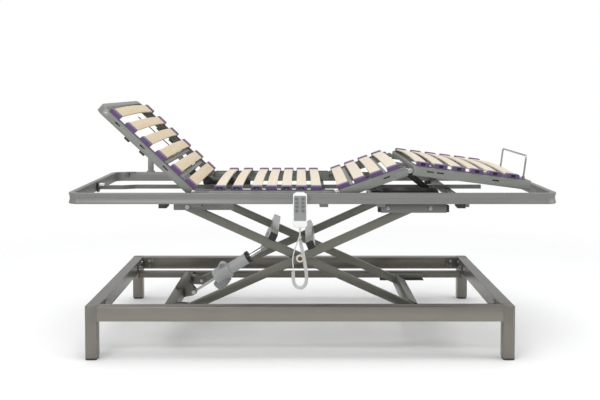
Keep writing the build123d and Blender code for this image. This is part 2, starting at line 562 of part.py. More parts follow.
def slat_row(places, x_hinge, top, direction, width):
    """Bowed slats and their end caps at distances from x_hinge, on rails whose top is at top."""
    slats, caps = [], []
    cap_half = width / 2 + CAP_SIDE
    for place in places:
        x = x_hinge + direction * place
        plane = Plane(origin=(x - width / 2, 0, top), x_dir=(0, 1, 0), z_dir=(1, 0, 0))
        slats.append(extrude(plane * arch(SLAT_HALF, SLAT_SEAT, SLAT_RISE, 0), amount=width))
        wide = Plane(origin=(x - width / 2 - CAP_FIT, 0, top), x_dir=(0, 1, 0), z_dir=(1, 0, 0))
        hole = extrude(wide * arch(SLAT_HALF + CAP_FIT, SLAT_SEAT, SLAT_RISE, CAP_FIT),
                       amount=width + 2 * CAP_FIT)
        cap = block(x - cap_half, x + cap_half, CAP_IN, CAP_OUT, top, top + CAP_H)
        cap = fillet(cap.edges().filter_by(Axis.Y).group_by(Axis.Z)[-1], 5)
        cap = cap - hole
        caps += both(cap)
    return slats, caps


# ---- moving sections ----
def section_rail(x0, x1, y, slots, depth):
    """A side rail with short slots through its outer wall."""
    rail = tube_x(x0, x1, y, SECTION_T, SECTION_TOP - depth, SECTION_TOP, SECTION_WALL)
    for x in slots:
        z = SECTION_TOP - depth * 0.45
        rail -= block(x - 14, x + 14, y + SECTION_T / 2 - SECTION_WALL - 1, y + SECTION_T / 2 + 1, z - 3, z + 3)
    return rail


def head_bend(head):
    """The back section's rounded end, a rail bent round both corners."""
    half = MOVE_Y + SECTION_T / 2
    low = SECTION_TOP - BACK_D
    outer = block(head, head + BEND_L, -half, half, low, SECTION_TOP)
    outer = fillet(outer.edges().filter_by(Axis.Z).group_by(Axis.X)[0], BEND_R)
    half -= SECTION_T
    inner = block(head + SECTION_T, head + BEND_L + 1, -half, half, low - 1, SECTION_TOP + 1)
    inner = fillet(inner.edges().filter_by(Axis.Z).group_by(Axis.X)[0], BEND_R - SECTION_T)
    return outer - inner


def cross_bar(x, half, z_top):
    """A square bar between two side rails."""
    return tube_y(x, BAR, -half, half, z_top - BAR, z_top, 2)


def sections():
    """Back, thigh and lower-leg sections, built flat and turned to their rest angles."""
    bar_top = SECTION_TOP - 3.0
    out = {}

    # back
    head = BACK_X - BACK_L
    half = MOVE_Y - SECTION_T / 2
    slots = [head + 110, head + 250, head + 380]
    rail = section_rail(head + BEND_L, BACK_X - HINGE_END, MOVE_Y, slots, BACK_D)
    rail += hinge_tongue(BACK_X, HINGE_Z, MOVE_Y, -1)
    push_z = HINGE_Z - BACK_PUSH
    side = PUSH_W / 2
    push = block(BACK_X - 190, BACK_X - 75, BACK_LEVER_Y - side, BACK_LEVER_Y + side, push_z, bar_top - BAR)
    frame = both(rail) + [cross_bar(BACK_X - 87, half, bar_top), cross_bar(BACK_X - 178, half, bar_top),
                          head_bend(head), push]
    slats, caps = slat_row(BACK_SLATS, BACK_X, SECTION_TOP, -1, WIDE_SLAT_W)
    for name, group in (("back_frame", frame), ("back_slats", slats), ("back_caps", caps)):
        out[name] = [turn(s, BACK_X, HINGE_Z, BACK_REST) for s in group]

    # thigh
    end = THIGH_X + KNEE_ALONG - KNEE_END
    rail = section_rail(THIGH_X + HINGE_END, end, MOVE_Y, [THIGH_X + 215], SECTION_D)
    rail += hinge_tongue(THIGH_X, HINGE_Z, MOVE_Y, 1)
    y_lug = MOVE_Y + SECTION_T / 2
    knee_lug = link((KNEE[0] - 55, KNEE[1]), KNEE, 11, y_lug, y_lug + LUG_T)
    rail += knee_lug
    rail -= rod_y(KNEE[0], KNEE[1], y_lug - 1, y_lug + LUG_T + 1, HINGE_PIN_R + RUN_FIT)
    frame = both(rail) + [cross_bar(THIGH_X + 66, half, bar_top), cross_bar(THIGH_X + 216, half, bar_top)]
    pin_in = LEG_Y - SECTION_T / 2 - LUG_T - 3
    frame += both(bolt_y(KNEE[0], KNEE[1], y_lug + LUG_T, pin_in, HINGE_PIN_R, 8, 4))
    slats, caps = slat_row(THIGH_SLATS, THIGH_X, SECTION_TOP, 1, WIDE_SLAT_W)
    for name, group in (("thigh_frame", frame), ("thigh_slats", slats), ("thigh_caps", caps)):
        out[name] = [turn(s, THIGH_X, HINGE_Z, -THIGH_REST) for s in group]

    # lower leg
    kx, kz = KNEE
    end = kx + LEG_L
    half = LEG_Y - SECTION_T / 2
    rail = section_rail(kx + KNEE_END, end, LEG_Y, [kx + 86, kx + 128, kx + 362], SECTION_D)
    rail += hinge_tongue(kx, kz, LEG_Y, 1)
    push = block(kx - 34, kx + 176, LEG_LEVER_Y - side, LEG_LEVER_Y + side, kz - LEG_PUSH, bar_top - BAR)
    frame = both(rail) + [cross_bar(kx + 28, half, bar_top), cross_bar(kx + 164, half, bar_top),
                          cross_bar(end - BAR / 2, half, SECTION_TOP), push]
    slats, caps = slat_row(LEG_SLATS, kx, SECTION_TOP, 1, WIDE_SLAT_W)
    wire_r, wire_x = 4.0, end - BAR / 2
    top = SECTION_TOP
    wire_path = FilletPolyline((wire_x, -318, top), (wire_x, -318, top + 98), (wire_x, 100, top + 98),
                               (wire_x, 100, top), radius=14)
    wire = sweep(Plane(origin=wire_path @ 0, z_dir=wire_path % 0) * Circle(wire_r), path=wire_path)
    for y in (-318, 100):
        wire += Pos(wire_x, y, top + 4) * Cylinder(7, 8)
    knee_turn = THIGH_REST * KNEE_RATIO
    for name, group in (("leg_frame", frame), ("leg_slats", slats), ("leg_caps", caps),
                        ("mattress_retainer", [wire])):
        out[name] = [turn(turn(s, kx, kz, knee_turn), THIGH_X, HINGE_Z, -THIGH_REST) for s in group]
    return out


def hinge_tongue(x, z, y, direction):
    """A plate on a rail's inner face that reaches over the hinge; direction is where the rail lies."""
    inner = y - SECTION_T / 2
    r = min(9.0, SECTION_TOP - z)
    shape = link((x + direction * 55, z - 8), (x, z), r, inner - LUG_T, inner)
    return shape - rod_y(x, z, inner - LUG_T - 1, inner + 1, HINGE_PIN_R + RUN_FIT)


# ---- section drives ----
def lever(shaft, length, degrees, y, y_shaft):
    """A lever arm beside a push rail at y, its roller under the rail, and its shaft to y_shaft."""
    x, z = shaft
    a = math.radians(degrees)
    tip = (x - length * math.cos(a), z + length * math.sin(a))
    arm_y = y - PUSH_W / 2 - LEVER_GAP
    arm = link(shaft, tip, LEVER_R, arm_y - LEVER_T, arm_y)
    roller = rod_y(tip[0], tip[1], arm_y, y + PUSH_W / 2, LEVER_R)
    return arm + roller + rod_y(x, z, y_shaft, arm_y, SHAFT_R)


def drives():
    """Two gear motors and the levers that they turn."""
    out = {}
    arm_in = PUSH_W / 2 + LEVER_GAP + LEVER_T
    bx, bz = BACK_SHAFT
    y1 = BACK_LEVER_Y - arm_in - 3
    y0 = y1 - 78
    box = rod_y(bx, bz, y0, y1, 24)
    box += rod_x(bx, bx + 200, y0 + 39, bz - 2, 19)
    box += block(CROSS_XS[1] - 16, CROSS_XS[1] + 16, y0 + 22, y0 + 56, CROSS_TOP, bz - 2)
    box -= rod_y(bx, bz, y0 - 1, y1 + 1, SHAFT_R + RUN_FIT)
    out["back_drive"] = [box]
    out["back_lever"] = [lever(BACK_SHAFT, BACK_LEVER, BACK_LEVER_REST, BACK_LEVER_Y, y0 - 6)]

    lx, lz = LEG_SHAFT
    y1 = LEG_LEVER_Y - arm_in - 3
    y0 = y1 - 66
    box = rod_y(lx, lz, y0, y1, 25)
    box += rod_x(CROSS_XS[3] + 40, lx, y0 + 33, lz + 2, 20)
    box += block(lx - 6, CROSS_XS[4] + 14, y0 + 6, y1 - 6, CROSS_BOTTOM - 6, CROSS_BOTTOM)
    box += block(CROSS_XS[3] - 14, CROSS_XS[3] + 60, y0 + 14, y1 - 14, CROSS_TOP, CROSS_TOP + 5)
    box -= rod_y(lx, lz, y0 - 1, y1 + 1, SHAFT_R + RUN_FIT)
    out["leg_drive"] = [box]
    out["leg_lever"] = [lever(LEG_SHAFT, LEG_LEVER, LEG_LEVER_REST, LEG_LEVER_Y, y0 - 6)]
    return out


# ---- handset ----
def handset():
    """The wired handset on the near rim, its eight buttons and its cord."""
    front = -PLAT_Y - 2 - HAND_T
    back = -PLAT_Y - 2
    shell = block(-HAND_W / 2, HAND_W / 2, front, back, HAND_BOTTOM, HAND_TOP)
    shell = fillet(shell.edges().filter_by(Axis.Y), 12)
    shell = fillet(shell.faces().sort_by(Axis.Y)[0].edges(), 4)
    hook_w, hook_t = 34.0, 3.0
    hook_y = -PLAT_Y + PLAT_T + 0.4 + hook_t
    hook = block(-hook_w / 2, hook_w / 2, back - 1, hook_y, PLAT_TOP, PLAT_TOP + hook_t)
    hook += block(-hook_w / 2, hook_w / 2, -PLAT_Y + PLAT_T + 0.4, -PLAT_Y + PLAT_T + 0.4 + hook_t,
                  PLAT_TOP - 12, PLAT_TOP + hook_t)
    shell += hook
    face_w, face_z0, face_z1, face_t = 50.0, 564.5, 668.5, 1.6
    recess = block(-face_w / 2, face_w / 2, front - 1, front + face_t, face_z0, face_z1)
    recess = fillet(recess.edges().filter_by(Axis.Y), 4)
    shell -= recess
    cover = block(-face_w / 2 + 0.1, face_w / 2 - 0.1, front - 0.6, front + face_t, face_z0 + 0.1, face_z1 - 0.1)
    cover = fillet(cover.edges().filter_by(Axis.Y), 4)
    buttons = {}
    gap = 0.4
    number = 0
    for z in BUTTON_Z:
        for x in BUTTON_X:
            number += 1
            plane = Plane(origin=(x, front + 6.5, z), x_dir=(1, 0, 0), z_dir=(0, -1, 0))
            well = extrude(plane * Ellipse(BUTTON_W / 2 + gap, BUTTON_H / 2 + gap), amount=9)
            shell -= well
            cover -= well
            key_plane = Plane(origin=(x, front + 6.5 - BUTTON_TRAVEL - 0.5, z), x_dir=(1, 0, 0), z_dir=(0, -1, 0))
            key = extrude(key_plane * Ellipse(BUTTON_W / 2, BUTTON_H / 2), amount=7.2)
            buttons[f"handset_button_{number}"] = [key]
    relief_top, relief_end = HAND_BOTTOM, CORD[0][2]
    relief = Pos(CORD[0][0], CORD[0][1], (relief_top + relief_end) / 2) * Cone(
        LEAD_D / 2 + 0.8, LEAD_D / 2 + 3, relief_top - relief_end)
    end = CORD[-1]
    socket = block(end[0] - 13, end[0] + 13, end[1] - 9, end[1] + 9, end[2], PLAT_BOTTOM)
    return {"handset_body": [shell], "handset_face": [cover], **buttons, "cord_fittings": [relief, socket],
            **cord()}


def cord_tube(points, d, label):
    """A cord along straight runs joined by tangent arcs."""
    vectors = [Vector(*p) for p in points]
    radii = []
    for a, b, c in zip(vectors, vectors[1:], vectors[2:]):
        turn_angle = math.radians((b - a).get_angle(c - b))
        shorter = min((b - a).length, (c - b).length)
        radii.append(0.45 * shorter / math.tan(turn_angle / 2))
    print(label, "radii", [round(r) for r in radii])
    path = FilletPolyline(*vectors, radius=radii)
    tube = sweep(Plane(origin=path @ 0, z_dir=path % 0) * Circle(d / 2), path=path)
    print(label, "length", round(path.length), "volume ratio",
          round(tube.volume / (math.pi * d * d / 4 * path.length), 4))
    return tube


def cord():
    """The handset cord: a thin lead, a curled stretch as one fat tube, and a thin lead to its socket."""
    def middle(i):
        return tuple((CORD[i][k] + CORD[i + 1][k]) / 2 for k in range(3))
    start, stop = middle(CURL_FROM), middle(CURL_TO)
    first = cord_tube(CORD[:CURL_FROM + 1] + [start], LEAD_D, "first lead")
    curl = cord_tube([start] + CORD[CURL_FROM + 1:CURL_TO + 1] + [stop], CURL_D, "curl")
    last = cord_tube([stop] + CORD[CURL_TO + 1:], LEAD_D, "last lead")
    return {"cord_leads": [first, last], "cord_curl": [curl]}


def main():
    """Builds every sub-part and writes one STEP each."""
    os.makedirs("parts", exist_ok=True)
    parts = {}
    for group in (base_frame(), scissor(), lift_actuator(), platform(), sections(), drives(), handset()):
        parts.update(group)
    for name, shapes in parts.items():
        solids = [solid for shape in shapes for solid in shape.solids()]
        moved = [Pos(SHIFT_X, 0, 0) * solid for solid in solids]
        export_step(Compound(children=moved) if len(moved) > 1 else moved[0], f"parts/{name}.step")
    print(len(parts), "nodes")


if __name__ == "__main__":
    main()
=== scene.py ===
"""Adjustable bed base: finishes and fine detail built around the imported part.

Everything is in metres in the part's own frame: +X runs to the foot end, +Y away from the handset
side, +Z up, with the origin on the floor under the middle of the platform's length.
"""

from __future__ import annotations

import json
import logging
import math
from dataclasses import dataclass, field
from enum import Enum
from functools import partial
from typing import Iterable, Sequence

import bmesh
import bpy
from mathutils import Matrix, Vector

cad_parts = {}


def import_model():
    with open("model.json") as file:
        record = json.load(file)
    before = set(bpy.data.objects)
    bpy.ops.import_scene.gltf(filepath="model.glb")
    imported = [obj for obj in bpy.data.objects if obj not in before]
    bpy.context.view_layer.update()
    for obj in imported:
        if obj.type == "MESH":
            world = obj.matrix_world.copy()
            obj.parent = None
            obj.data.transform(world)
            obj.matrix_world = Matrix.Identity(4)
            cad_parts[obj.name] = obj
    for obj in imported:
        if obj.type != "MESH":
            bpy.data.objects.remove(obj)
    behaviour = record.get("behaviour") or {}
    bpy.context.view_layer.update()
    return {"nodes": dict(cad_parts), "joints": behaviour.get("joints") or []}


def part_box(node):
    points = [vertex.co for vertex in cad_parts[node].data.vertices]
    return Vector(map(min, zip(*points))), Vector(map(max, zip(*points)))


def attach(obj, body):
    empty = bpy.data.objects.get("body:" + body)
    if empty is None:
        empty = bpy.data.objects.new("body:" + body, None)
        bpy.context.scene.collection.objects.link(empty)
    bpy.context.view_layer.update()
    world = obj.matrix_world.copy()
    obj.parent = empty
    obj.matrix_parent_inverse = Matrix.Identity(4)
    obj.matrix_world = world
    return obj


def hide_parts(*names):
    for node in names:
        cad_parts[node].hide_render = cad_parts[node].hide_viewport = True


LOG = logging.getLogger("bed_base")
MM = 0.001
SHIFT_X = -0.052  # the scissor's crossing from the middle of the platform's length
ARM_ANGLE = 24.25  # the arms' and sections' angles at rest, in degrees
BACK_REST = 43.0
THIGH_REST = 19.5
KNEE_RATIO = 1.38  # the knee's bend for each degree of the thigh's tilt
HINGE_DROP = 7 * MM  # back and thigh hinges below the rail tops
KNEE_ALONG = 317 * MM  # knee hinge from the thigh hinge
KNEE_DROP = 22 * MM  # knee hinge below the rail tops
SAME_POINT = 0.001 * MM  # corners closer than this are one corner
NEARLY_FLAT = math.radians(0.6)  # faces that meet at less than this are one face
SOFTENED_FROM = math.radians(40)  # edges sharper than this are softened

Outline = list[tuple[float, float]]
Loop = list[Vector]


class Side(Enum):
    """Which side of the bed a piece is on, as the sign of its Y."""

    NEAR = -1
    FAR = 1


class Grain(Enum):
    """The way a brushed or drawn surface runs, as the stretch of its pattern along X, Y and Z."""

    ALONG_X = (5.0, 260.0, 260.0)
    ALONG_Y = (260.0, 5.0, 260.0)
    ALONG_Z = (260.0, 260.0, 5.0)
    EVEN = (180.0, 180.0, 180.0)


class CapFace(Enum):
    """The kinds of outer face on the rubber slat caps."""

    OVAL = "oval"
    SOLID = "solid"
    SQUARE = "square"
    RIBBED = "ribbed"


# ---- colours and finishes ----
def linear(code: str) -> tuple[float, float, float, float]:
    """Turn a hex colour into linear RGBA.

    Args:
        code: six hex digits, with or without a hash.

    Returns:
        Linear red, green, blue and an alpha of one.
    """
    code = code.lstrip("#")
    parts = [int(code[i : i + 2], 16) / 255 for i in (0, 2, 4)]
    r, g, b = (c / 12.92 if c <= 0.04045 else ((c + 0.055) / 1.055) ** 2.4 for c in parts)
    return (r, g, b, 1.0)


class NodeBoard:
    """A material's node tree, with short ways to add and join nodes."""

    def __init__(self, name: str) -> None:
        """Start a material with one Principled shader.

        Args:
            name: the material's name.
        """
        self.material = bpy.data.materials.new(name)
        self.material.use_nodes = True
        self.tree = self.material.node_tree
        self.shader = next(n for n in self.tree.nodes if n.type == "BSDF_PRINCIPLED")

    def add(self, kind: str, **values: object) -> bpy.types.Node:
        """Add a node and set its properties or inputs.

        Args:
            kind: the node's type name.
            values: property names, or input names with spaces as underscores.

        Returns:
            The new node.
        """
        node = self.tree.nodes.new(kind)
        for key, value in values.items():
            if hasattr(node, key):
                setattr(node, key, value)
            else:
                node.inputs[key.replace("_", " ")].default_value = value
        return node

    def join(self, source: bpy.types.NodeSocket, target: bpy.types.NodeSocket) -> None:
        """Link an output to an input."""
        self.tree.links.new(source, target)

    def feed(self, name: str, source: bpy.types.NodeSocket) -> None:
        """Link an output to one of the shader's own sockets."""
        self.join(source, self.shader.inputs[name])

    def set(self, **values: object) -> None:
        """Set the shader's own sockets, names with spaces as underscores."""
        for key, value in values.items():
            self.shader.inputs[key.replace("_", " ")].default_value = value

    def pattern(self, stretch: Sequence[float], detail: float) -> bpy.types.NodeSocket:
        """A noise on Object coordinates, stretched along the axes.

        Args:
            stretch: the pattern's frequency along X, Y and Z, per metre.
            detail: octaves of noise.

        Returns:
            The noise's value output.
        """
        place = self.add("ShaderNodeTexCoord")
        mapping = self.add("ShaderNodeMapping", Scale=tuple(stretch))
        self.join(place.outputs["Object"], mapping.inputs["Vector"])
        noise = self.add("ShaderNodeTexNoise", Scale=1.0, Detail=detail, Roughness=0.6)
        self.join(mapping.outputs["Vector"], noise.inputs["Vector"])
        return noise.outputs["Fac"]

    def spread(self, source: bpy.types.NodeSocket, low: float, high: float) -> bpy.types.NodeSocket:
        """Map a noise's middle range onto low to high."""
        node = self.add("ShaderNodeMapRange")
        node.inputs["From Min"].default_value = 0.3
        node.inputs["From Max"].default_value = 0.7
        node.inputs["To Min"].default_value = low
        node.inputs["To Max"].default_value = high
        self.join(source, node.inputs["Value"])
        return node.outputs["Result"]

    def blend(
        self, share: bpy.types.NodeSocket, first: Sequence[float], second: Sequence[float]
    ) -> bpy.types.NodeSocket:
        """Mix two colours by a share.

        Args:
            share: what the mix follows, from 0 to 1.
            first: the colour at 0.
            second: the colour at 1.

        Returns:
            The mixed colour's output.
        """
        node = self.add("ShaderNodeMix", data_type="RGBA")
        node.inputs[6].default_value = tuple(first)
        node.inputs[7].default_value = tuple(second)
        self.join(share, node.inputs[0])
        return node.outputs[2]

    def bump(self, height: bpy.types.NodeSocket, strength: float, distance: float) -> None:
        """Give the shader a bump from a height, after any bump it has already."""
        node = self.add("ShaderNodeBump", Strength=strength, Distance=distance)
        self.join(height, node.inputs["Height"])
        old = self.shader.inputs["Normal"]
        if old.is_linked:
            self.join(old.links[0].from_socket, node.inputs["Normal"])
        self.join(node.outputs["Normal"], old)


def tinted(colour: Sequence[float], factor: float) -> tuple[float, float, float, float]:
    """A colour made lighter or darker by a factor, clipped at one."""
    r, g, b = (min(1.0, c * factor) for c in colour[:3])
    return (r, g, b, 1.0)


@dataclass(frozen=True)
class MetalFinish:
    """A metal surface, brushed, drawn or painted with a metallic satin coat."""

    name: str
    colour: str
    metallic: float = 0.9
    roughness: float = 0.34
    grain: Grain = Grain.ALONG_X
    contrast: float = 0.1
    bump: float = 0.12
    ends_from: float = 0.0

    def make(self) -> bpy.types.Material:
        """Build the material.

        Returns:
            A Principled metal whose grain and cloudiness come from noise on Object coordinates. Where
            ends_from is set, the grain runs along Y beyond that distance from the middle.
        """
        board = NodeBoard(self.name)
        base = linear(self.colour)
        board.set(Metallic=self.metallic)
        fine = board.pattern(self.grain.value, detail=5.0)
        if self.ends_from > 0:
            fine = self._with_ends(board, fine)
        cloud = board.pattern((7.0, 9.0, 9.0), detail=3.0)
        low, high = 1 - self.contrast, 1 + self.contrast
        tone = board.blend(board.spread(fine, 0.0, 1.0), tinted(base, low), tinted(base, high))
        layer = board.add("ShaderNodeMix", data_type="RGBA", blend_type="MULTIPLY")
        layer.inputs[0].default_value = 0.55
        board.join(tone, layer.inputs[6])
        shade = board.blend(board.spread(cloud, 0.0, 1.0), (0.86, 0.86, 0.87, 1), (1, 1, 1, 1))
        board.join(shade, layer.inputs[7])
        board.feed("Base Color", layer.outputs[2])
        rough = board.add("ShaderNodeMath", operation="ADD")
        board.join(board.spread(fine, self.roughness - 0.07, self.roughness + 0.07), rough.inputs[0])
        board.join(board.spread(cloud, -0.03, 0.04), rough.inputs[1])
        board.feed("Roughness", rough.outputs[0])
        board.bump(fine, self.bump, 0.0004)
        return board.material

    def _with_ends(self, board: NodeBoard, fine: bpy.types.NodeSocket) -> bpy.types.NodeSocket:
        """Switch the grain to run along Y on the end rails."""
        place = board.add("ShaderNodeTexCoord")
        parts = board.add("ShaderNodeSeparateXYZ")
        board.join(place.outputs["Object"], parts.inputs[0])
        size = board.add("ShaderNodeMath", operation="ABSOLUTE")
        board.join(parts.outputs["X"], size.inputs[0])
        beyond = board.add("ShaderNodeMath", operation="GREATER_THAN")
        beyond.inputs[1].default_value = self.ends_from
        board.join(size.outputs[0], beyond.inputs[0])
        mix = board.add("ShaderNodeMix", data_type="FLOAT")
        board.join(beyond.outputs[0], mix.inputs[0])
        board.join(fine, mix.inputs[2])
        board.join(board.pattern(Grain.ALONG_Y.value, detail=5.0), mix.inputs[3])
        return mix.outputs[0]


@dataclass(frozen=True)
class BeechFinish:
    """Pale laminated beech, lacquered, with its grain along the slat and plies on its edges."""

    name: str
    light: str
    dark: str
    roughness: float = 0.42

    def make(self) -> bpy.types.Material:
        """Build the material.

        Returns:
            Wood whose streaks and pores follow Y, whose tone follows the slat's "tone" attribute, and
            whose edges show glue lines from the "ply" attribute.
        """
        board = NodeBoard(self.name)
        light, dark = linear(self.light), linear(self.dark)
        streak = board.pattern((95.0, 3.5, 95.0), detail=6.0)
        fleck = board.pattern((900.0, 90.0, 900.0), detail=2.0)
        tone = board.add("ShaderNodeAttribute", attribute_name="tone")
        share = board.add("ShaderNodeMath", operation="ADD", use_clamp=True)
        board.join(board.spread(streak, 0.0, 0.6), share.inputs[0])
        board.join(tone.outputs["Fac"], share.inputs[1])
        wood = board.blend(share.outputs[0], light, dark)
        pores = board.add("ShaderNodeMix", data_type="RGBA", blend_type="MULTIPLY")
        board.join(board.spread(fleck, 0.0, 0.32), pores.inputs[0])
        board.join(wood, pores.inputs[6])
        pores.inputs[7].default_value = (0.78, 0.69, 0.58, 1)
        ply = board.add("ShaderNodeAttribute", attribute_name="ply")
        wave = board.add("ShaderNodeMath", operation="MULTIPLY")
        wave.inputs[1].default_value = 4.0
        board.join(ply.outputs["Fac"], wave.inputs[0])
        saw = board.add("ShaderNodeMath", operation="FRACT")
        board.join(wave.outputs[0], saw.inputs[0])
        line = board.add("ShaderNodeMath", operation="COMPARE")
        line.inputs[1].default_value = 0.5
        line.inputs[2].default_value = 0.1
        board.join(saw.outputs[0], line.inputs[0])
        glued = board.add("ShaderNodeMix", data_type="RGBA")
        board.join(line.outputs[0], glued.inputs[0])
        board.join(pores.outputs[2], glued.inputs[6])
        glued.inputs[7].default_value = tinted(dark, 0.55)
        board.feed("Base Color", glued.outputs[2])
        board.feed("Roughness", board.spread(streak, self.roughness - 0.06, self.roughness + 0.08))
        board.set(Coat_Weight=0.18, Coat_Roughness=0.25)
        board.bump(streak, 0.1, 0.0006)
        board.bump(fleck, 0.08, 0.0002)
        return board.material


@dataclass(frozen=True)
class MouldedFinish:
    """A moulded plastic or rubber with a fine grain."""

    name: str
    colour: str
    roughness: float = 0.5
    grain: float = 900.0
    bump: float = 0.15
    variation: float = 0.06
    coat: float = 0.0
    sheen: float = 0.0

    def make(self) -> bpy.types.Material:
        """Build the material.

        Returns:
            A Principled plastic with a grained surface and slightly uneven colour and gloss.
        """
        board = NodeBoard(self.name)
        base = linear(self.colour)
        grain = board.pattern((self.grain,) * 3, detail=3.0)
        cloud = board.pattern((22.0, 22.0, 22.0), detail=3.0)
        low, high = 1 - self.variation, 1 + self.variation
        tone = board.blend(board.spread(cloud, 0.0, 1.0), tinted(base, low), tinted(base, high))
        board.feed("Base Color", tone)
        board.feed("Roughness", board.spread(cloud, self.roughness - 0.05, self.roughness + 0.05))
        board.set(Coat_Weight=self.coat, Coat_Roughness=0.2, Sheen_Weight=self.sheen, Sheen_Roughness=0.4)
        board.bump(grain, self.bump, 0.0002)
        return board.material


class Palette:
    """Every finish on the bed, made once."""

    def __init__(self) -> None:
        """Make the materials."""
        metal, moulded = MetalFinish, MouldedFinish
        paint = partial(MetalFinish, grain=Grain.EVEN, contrast=0.04, bump=0.08)
        finishes = [
            metal("floor frame steel", "87837c", roughness=0.36, ends_from=0.832, contrast=0.08),
            metal("leg steel", "827e77", roughness=0.38, grain=Grain.ALONG_Z, contrast=0.08),
            metal("inner frame steel", "74726b", roughness=0.4, contrast=0.07),
            metal("rim steel", "868683", metallic=0.5, roughness=0.45, ends_from=0.97, contrast=0.08),
            metal("under frame steel", "777874", roughness=0.38, grain=Grain.ALONG_Y, contrast=0.07),
            paint("scissor paint", "77776e", metallic=0.75, roughness=0.36),
            metal("cross tube aluminium", "c2c2bf", roughness=0.3, grain=Grain.ALONG_Y, contrast=0.06),
            paint("section paint", "898b85", metallic=0.5, roughness=0.42),
            metal("zinc", "b4b4b1", roughness=0.28, grain=Grain.EVEN, contrast=0.1),
            metal("bronze bush", "8a5a3e", roughness=0.38, grain=Grain.EVEN, contrast=0.1),
            metal("polished rod", "d9d9d8", metallic=1.0, roughness=0.1, contrast=0.03, bump=0.03),
            metal("retainer wire", "a9aaa8", metallic=1.0, roughness=0.22, grain=Grain.EVEN, contrast=0.05),
            # The two beech finishes are lit and shaded copies of one wood: the back end's darker colours are
            # painted shade.
            BeechFinish("beech, seat end", "ddd3c1", "d0c2a9"),
            BeechFinish("beech, back end", "d0c0a2", "c2ae88"),
            moulded("purple rubber", "563f68", roughness=0.46, sheen=0.25, variation=0.1),
            moulded("dark purple rubber", "4b345b", roughness=0.5, sheen=0.2, variation=0.1),
            # painted shade: the dark inside of the caps' openings
            moulded("cap pocket", "17121d", roughness=0.6),
            # painted highlight: a green glint inside the oval openings
            moulded("green pad", "4f9a78", roughness=0.3, coat=0.4),
            moulded("black plastic", "222222", roughness=0.45, bump=0.25),
            moulded("glide plastic", "2c2b29", roughness=0.6),
            moulded("actuator grey", "b2b3b2", roughness=0.42, bump=0.2, variation=0.04),
            moulded("motor grey", "8a8b8b", roughness=0.45, bump=0.25, variation=0.04),
            moulded("pivot white", "e9e9e4", roughness=0.35, variation=0.02),
            moulded("handset white", "eeeeea", roughness=0.34, coat=0.2, variation=0.015, bump=0.08),
            moulded("handset film", "8d8e8e", roughness=0.42, variation=0.02),
            moulded("key rubber", "6c6d6d", roughness=0.52, variation=0.03),
            moulded("cord sheath", "c9c9c5", roughness=0.36, coat=0.15, variation=0.02, grain=600.0),
        ]
        self._made = {f.name: f.make() for f in finishes}

    def __getitem__(self, name: str) -> bpy.types.Material:
        """The material of that name."""
        return self._made[name]


# ---- outlines and shapes ----
def rounded_outline(width: float, height: float, radius: float, steps: int = 3) -> Outline:
    """A rectangle with rounded corners about the origin, anticlockwise.

    Args:
        width: its size along the first axis.
        height: its size along the second axis.
        radius: its corner radius.
        steps: straight pieces in each corner.

    Returns:
        Its points.
    """
    points: Outline = []
    cx, cy = width / 2 - radius, height / 2 - radius
    for quarter, (sx, sy) in enumerate(((1, 1), (-1, 1), (-1, -1), (1, -1))):
        for i in range(steps + 1):
            a = math.pi / 2 * (quarter + i / steps)
            points.append((sx * cx + radius * math.cos(a), sy * cy + radius * math.sin(a)))
    return points


def circle_outline(radius: float, count: int = 24) -> Outline:
    """A circle's points about the origin."""
    angles = [2 * math.pi * i / count for i in range(count)]
    return [(radius * math.cos(a), radius * math.sin(a)) for a in angles]


def hexagon_like(outline: Outline, across: float) -> Outline:
    """A hexagon sampled at the same angles as another outline's points."""
    points: Outline = []
    for u, v in outline:
        a = math.atan2(v, u)
        within = (a + math.pi / 6) % (math.pi / 3) - math.pi / 6
        r = across / 2 / math.cos(within)
        points.append((r * math.cos(a), r * math.sin(a)))
    return points


def ellipse_like(outline: Outline, width: float, height: float) -> Outline:
    """An ellipse sampled at the same angles as another outline's points."""
    points: Outline = []
    for u, v in outline:
        a = math.atan2(v, u)
        r = 1 / math.hypot(math.cos(a) / (width / 2), math.sin(a) / (height / 2))
        points.append((r * math.cos(a), r * math.sin(a)))
    return points


class Shape:
    """A mesh that grows from closed loops of points."""

    def __init__(self) -> None:
        """Start empty."""
        self.verts: list[Vector] = []
        self.faces: list[tuple[int, ...]] = []

    def loft(self, loops: Sequence[Loop]) -> "Shape":
        """Join loops of equal length into a skin that is filled at both ends.

        Args:
            loops: the loops in order.

        Returns:
            The shape itself.
        """
        start, n = len(self.verts), len(loops[0])
        for loop in loops:
            self.verts.extend(loop)
        last = start + (len(loops) - 1) * n
        for a in range(start, last, n):
            for i in range(n):
                j = (i + 1) % n
                self.faces.append((a + i, a + j, a + n + j, a + n + i))
        self.faces.append(tuple(reversed(range(start, start + n))))
        self.faces.append(tuple(range(last, last + n)))
        return self

    def stack(self, levels: Sequence[tuple[Outline, float]], place: Matrix) -> "Shape":
        """Loft outlines that lie in a place's XY plane, each at its own height along its Z.

        Args:
            levels: outlines and their heights.
            place: where the stack's own axes are.

        Returns:
            The shape itself.
        """
        return self.loft([[place @ Vector((u, v, h)) for u, v in outline] for outline, h in levels])

    def box(self, low: Sequence[float], high: Sequence[float], soft: float = 0.0012) -> "Shape":
        """A block with softened edges between two corners."""
        low, high = Vector(low), Vector(high)
        size, middle = high - low, (low + high) / 2
        soft = min(soft, min(size) * 0.3)
        inner = rounded_outline(size.x - 2 * soft, size.y - 2 * soft, soft, 2)
        outer = rounded_outline(size.x, size.y, soft * 2, 2)
        place = Matrix.Translation((middle.x, middle.y, low.z))
        return self.stack([(inner, 0), (outer, soft), (outer, size.z - soft), (inner, size.z)], place)

    def mesh(self, name: str) -> bpy.types.Mesh:
        """Make a mesh with its normals turned outwards."""
        mesh = bpy.data.meshes.new(name)
        mesh.from_pydata([tuple(v) for v in self.verts], [], self.faces)
        work = bmesh.new()
        work.from_mesh(mesh)
        bmesh.ops.recalc_face_normals(work, faces=work.faces)
        work.to_mesh(mesh)
        work.free()
        return mesh


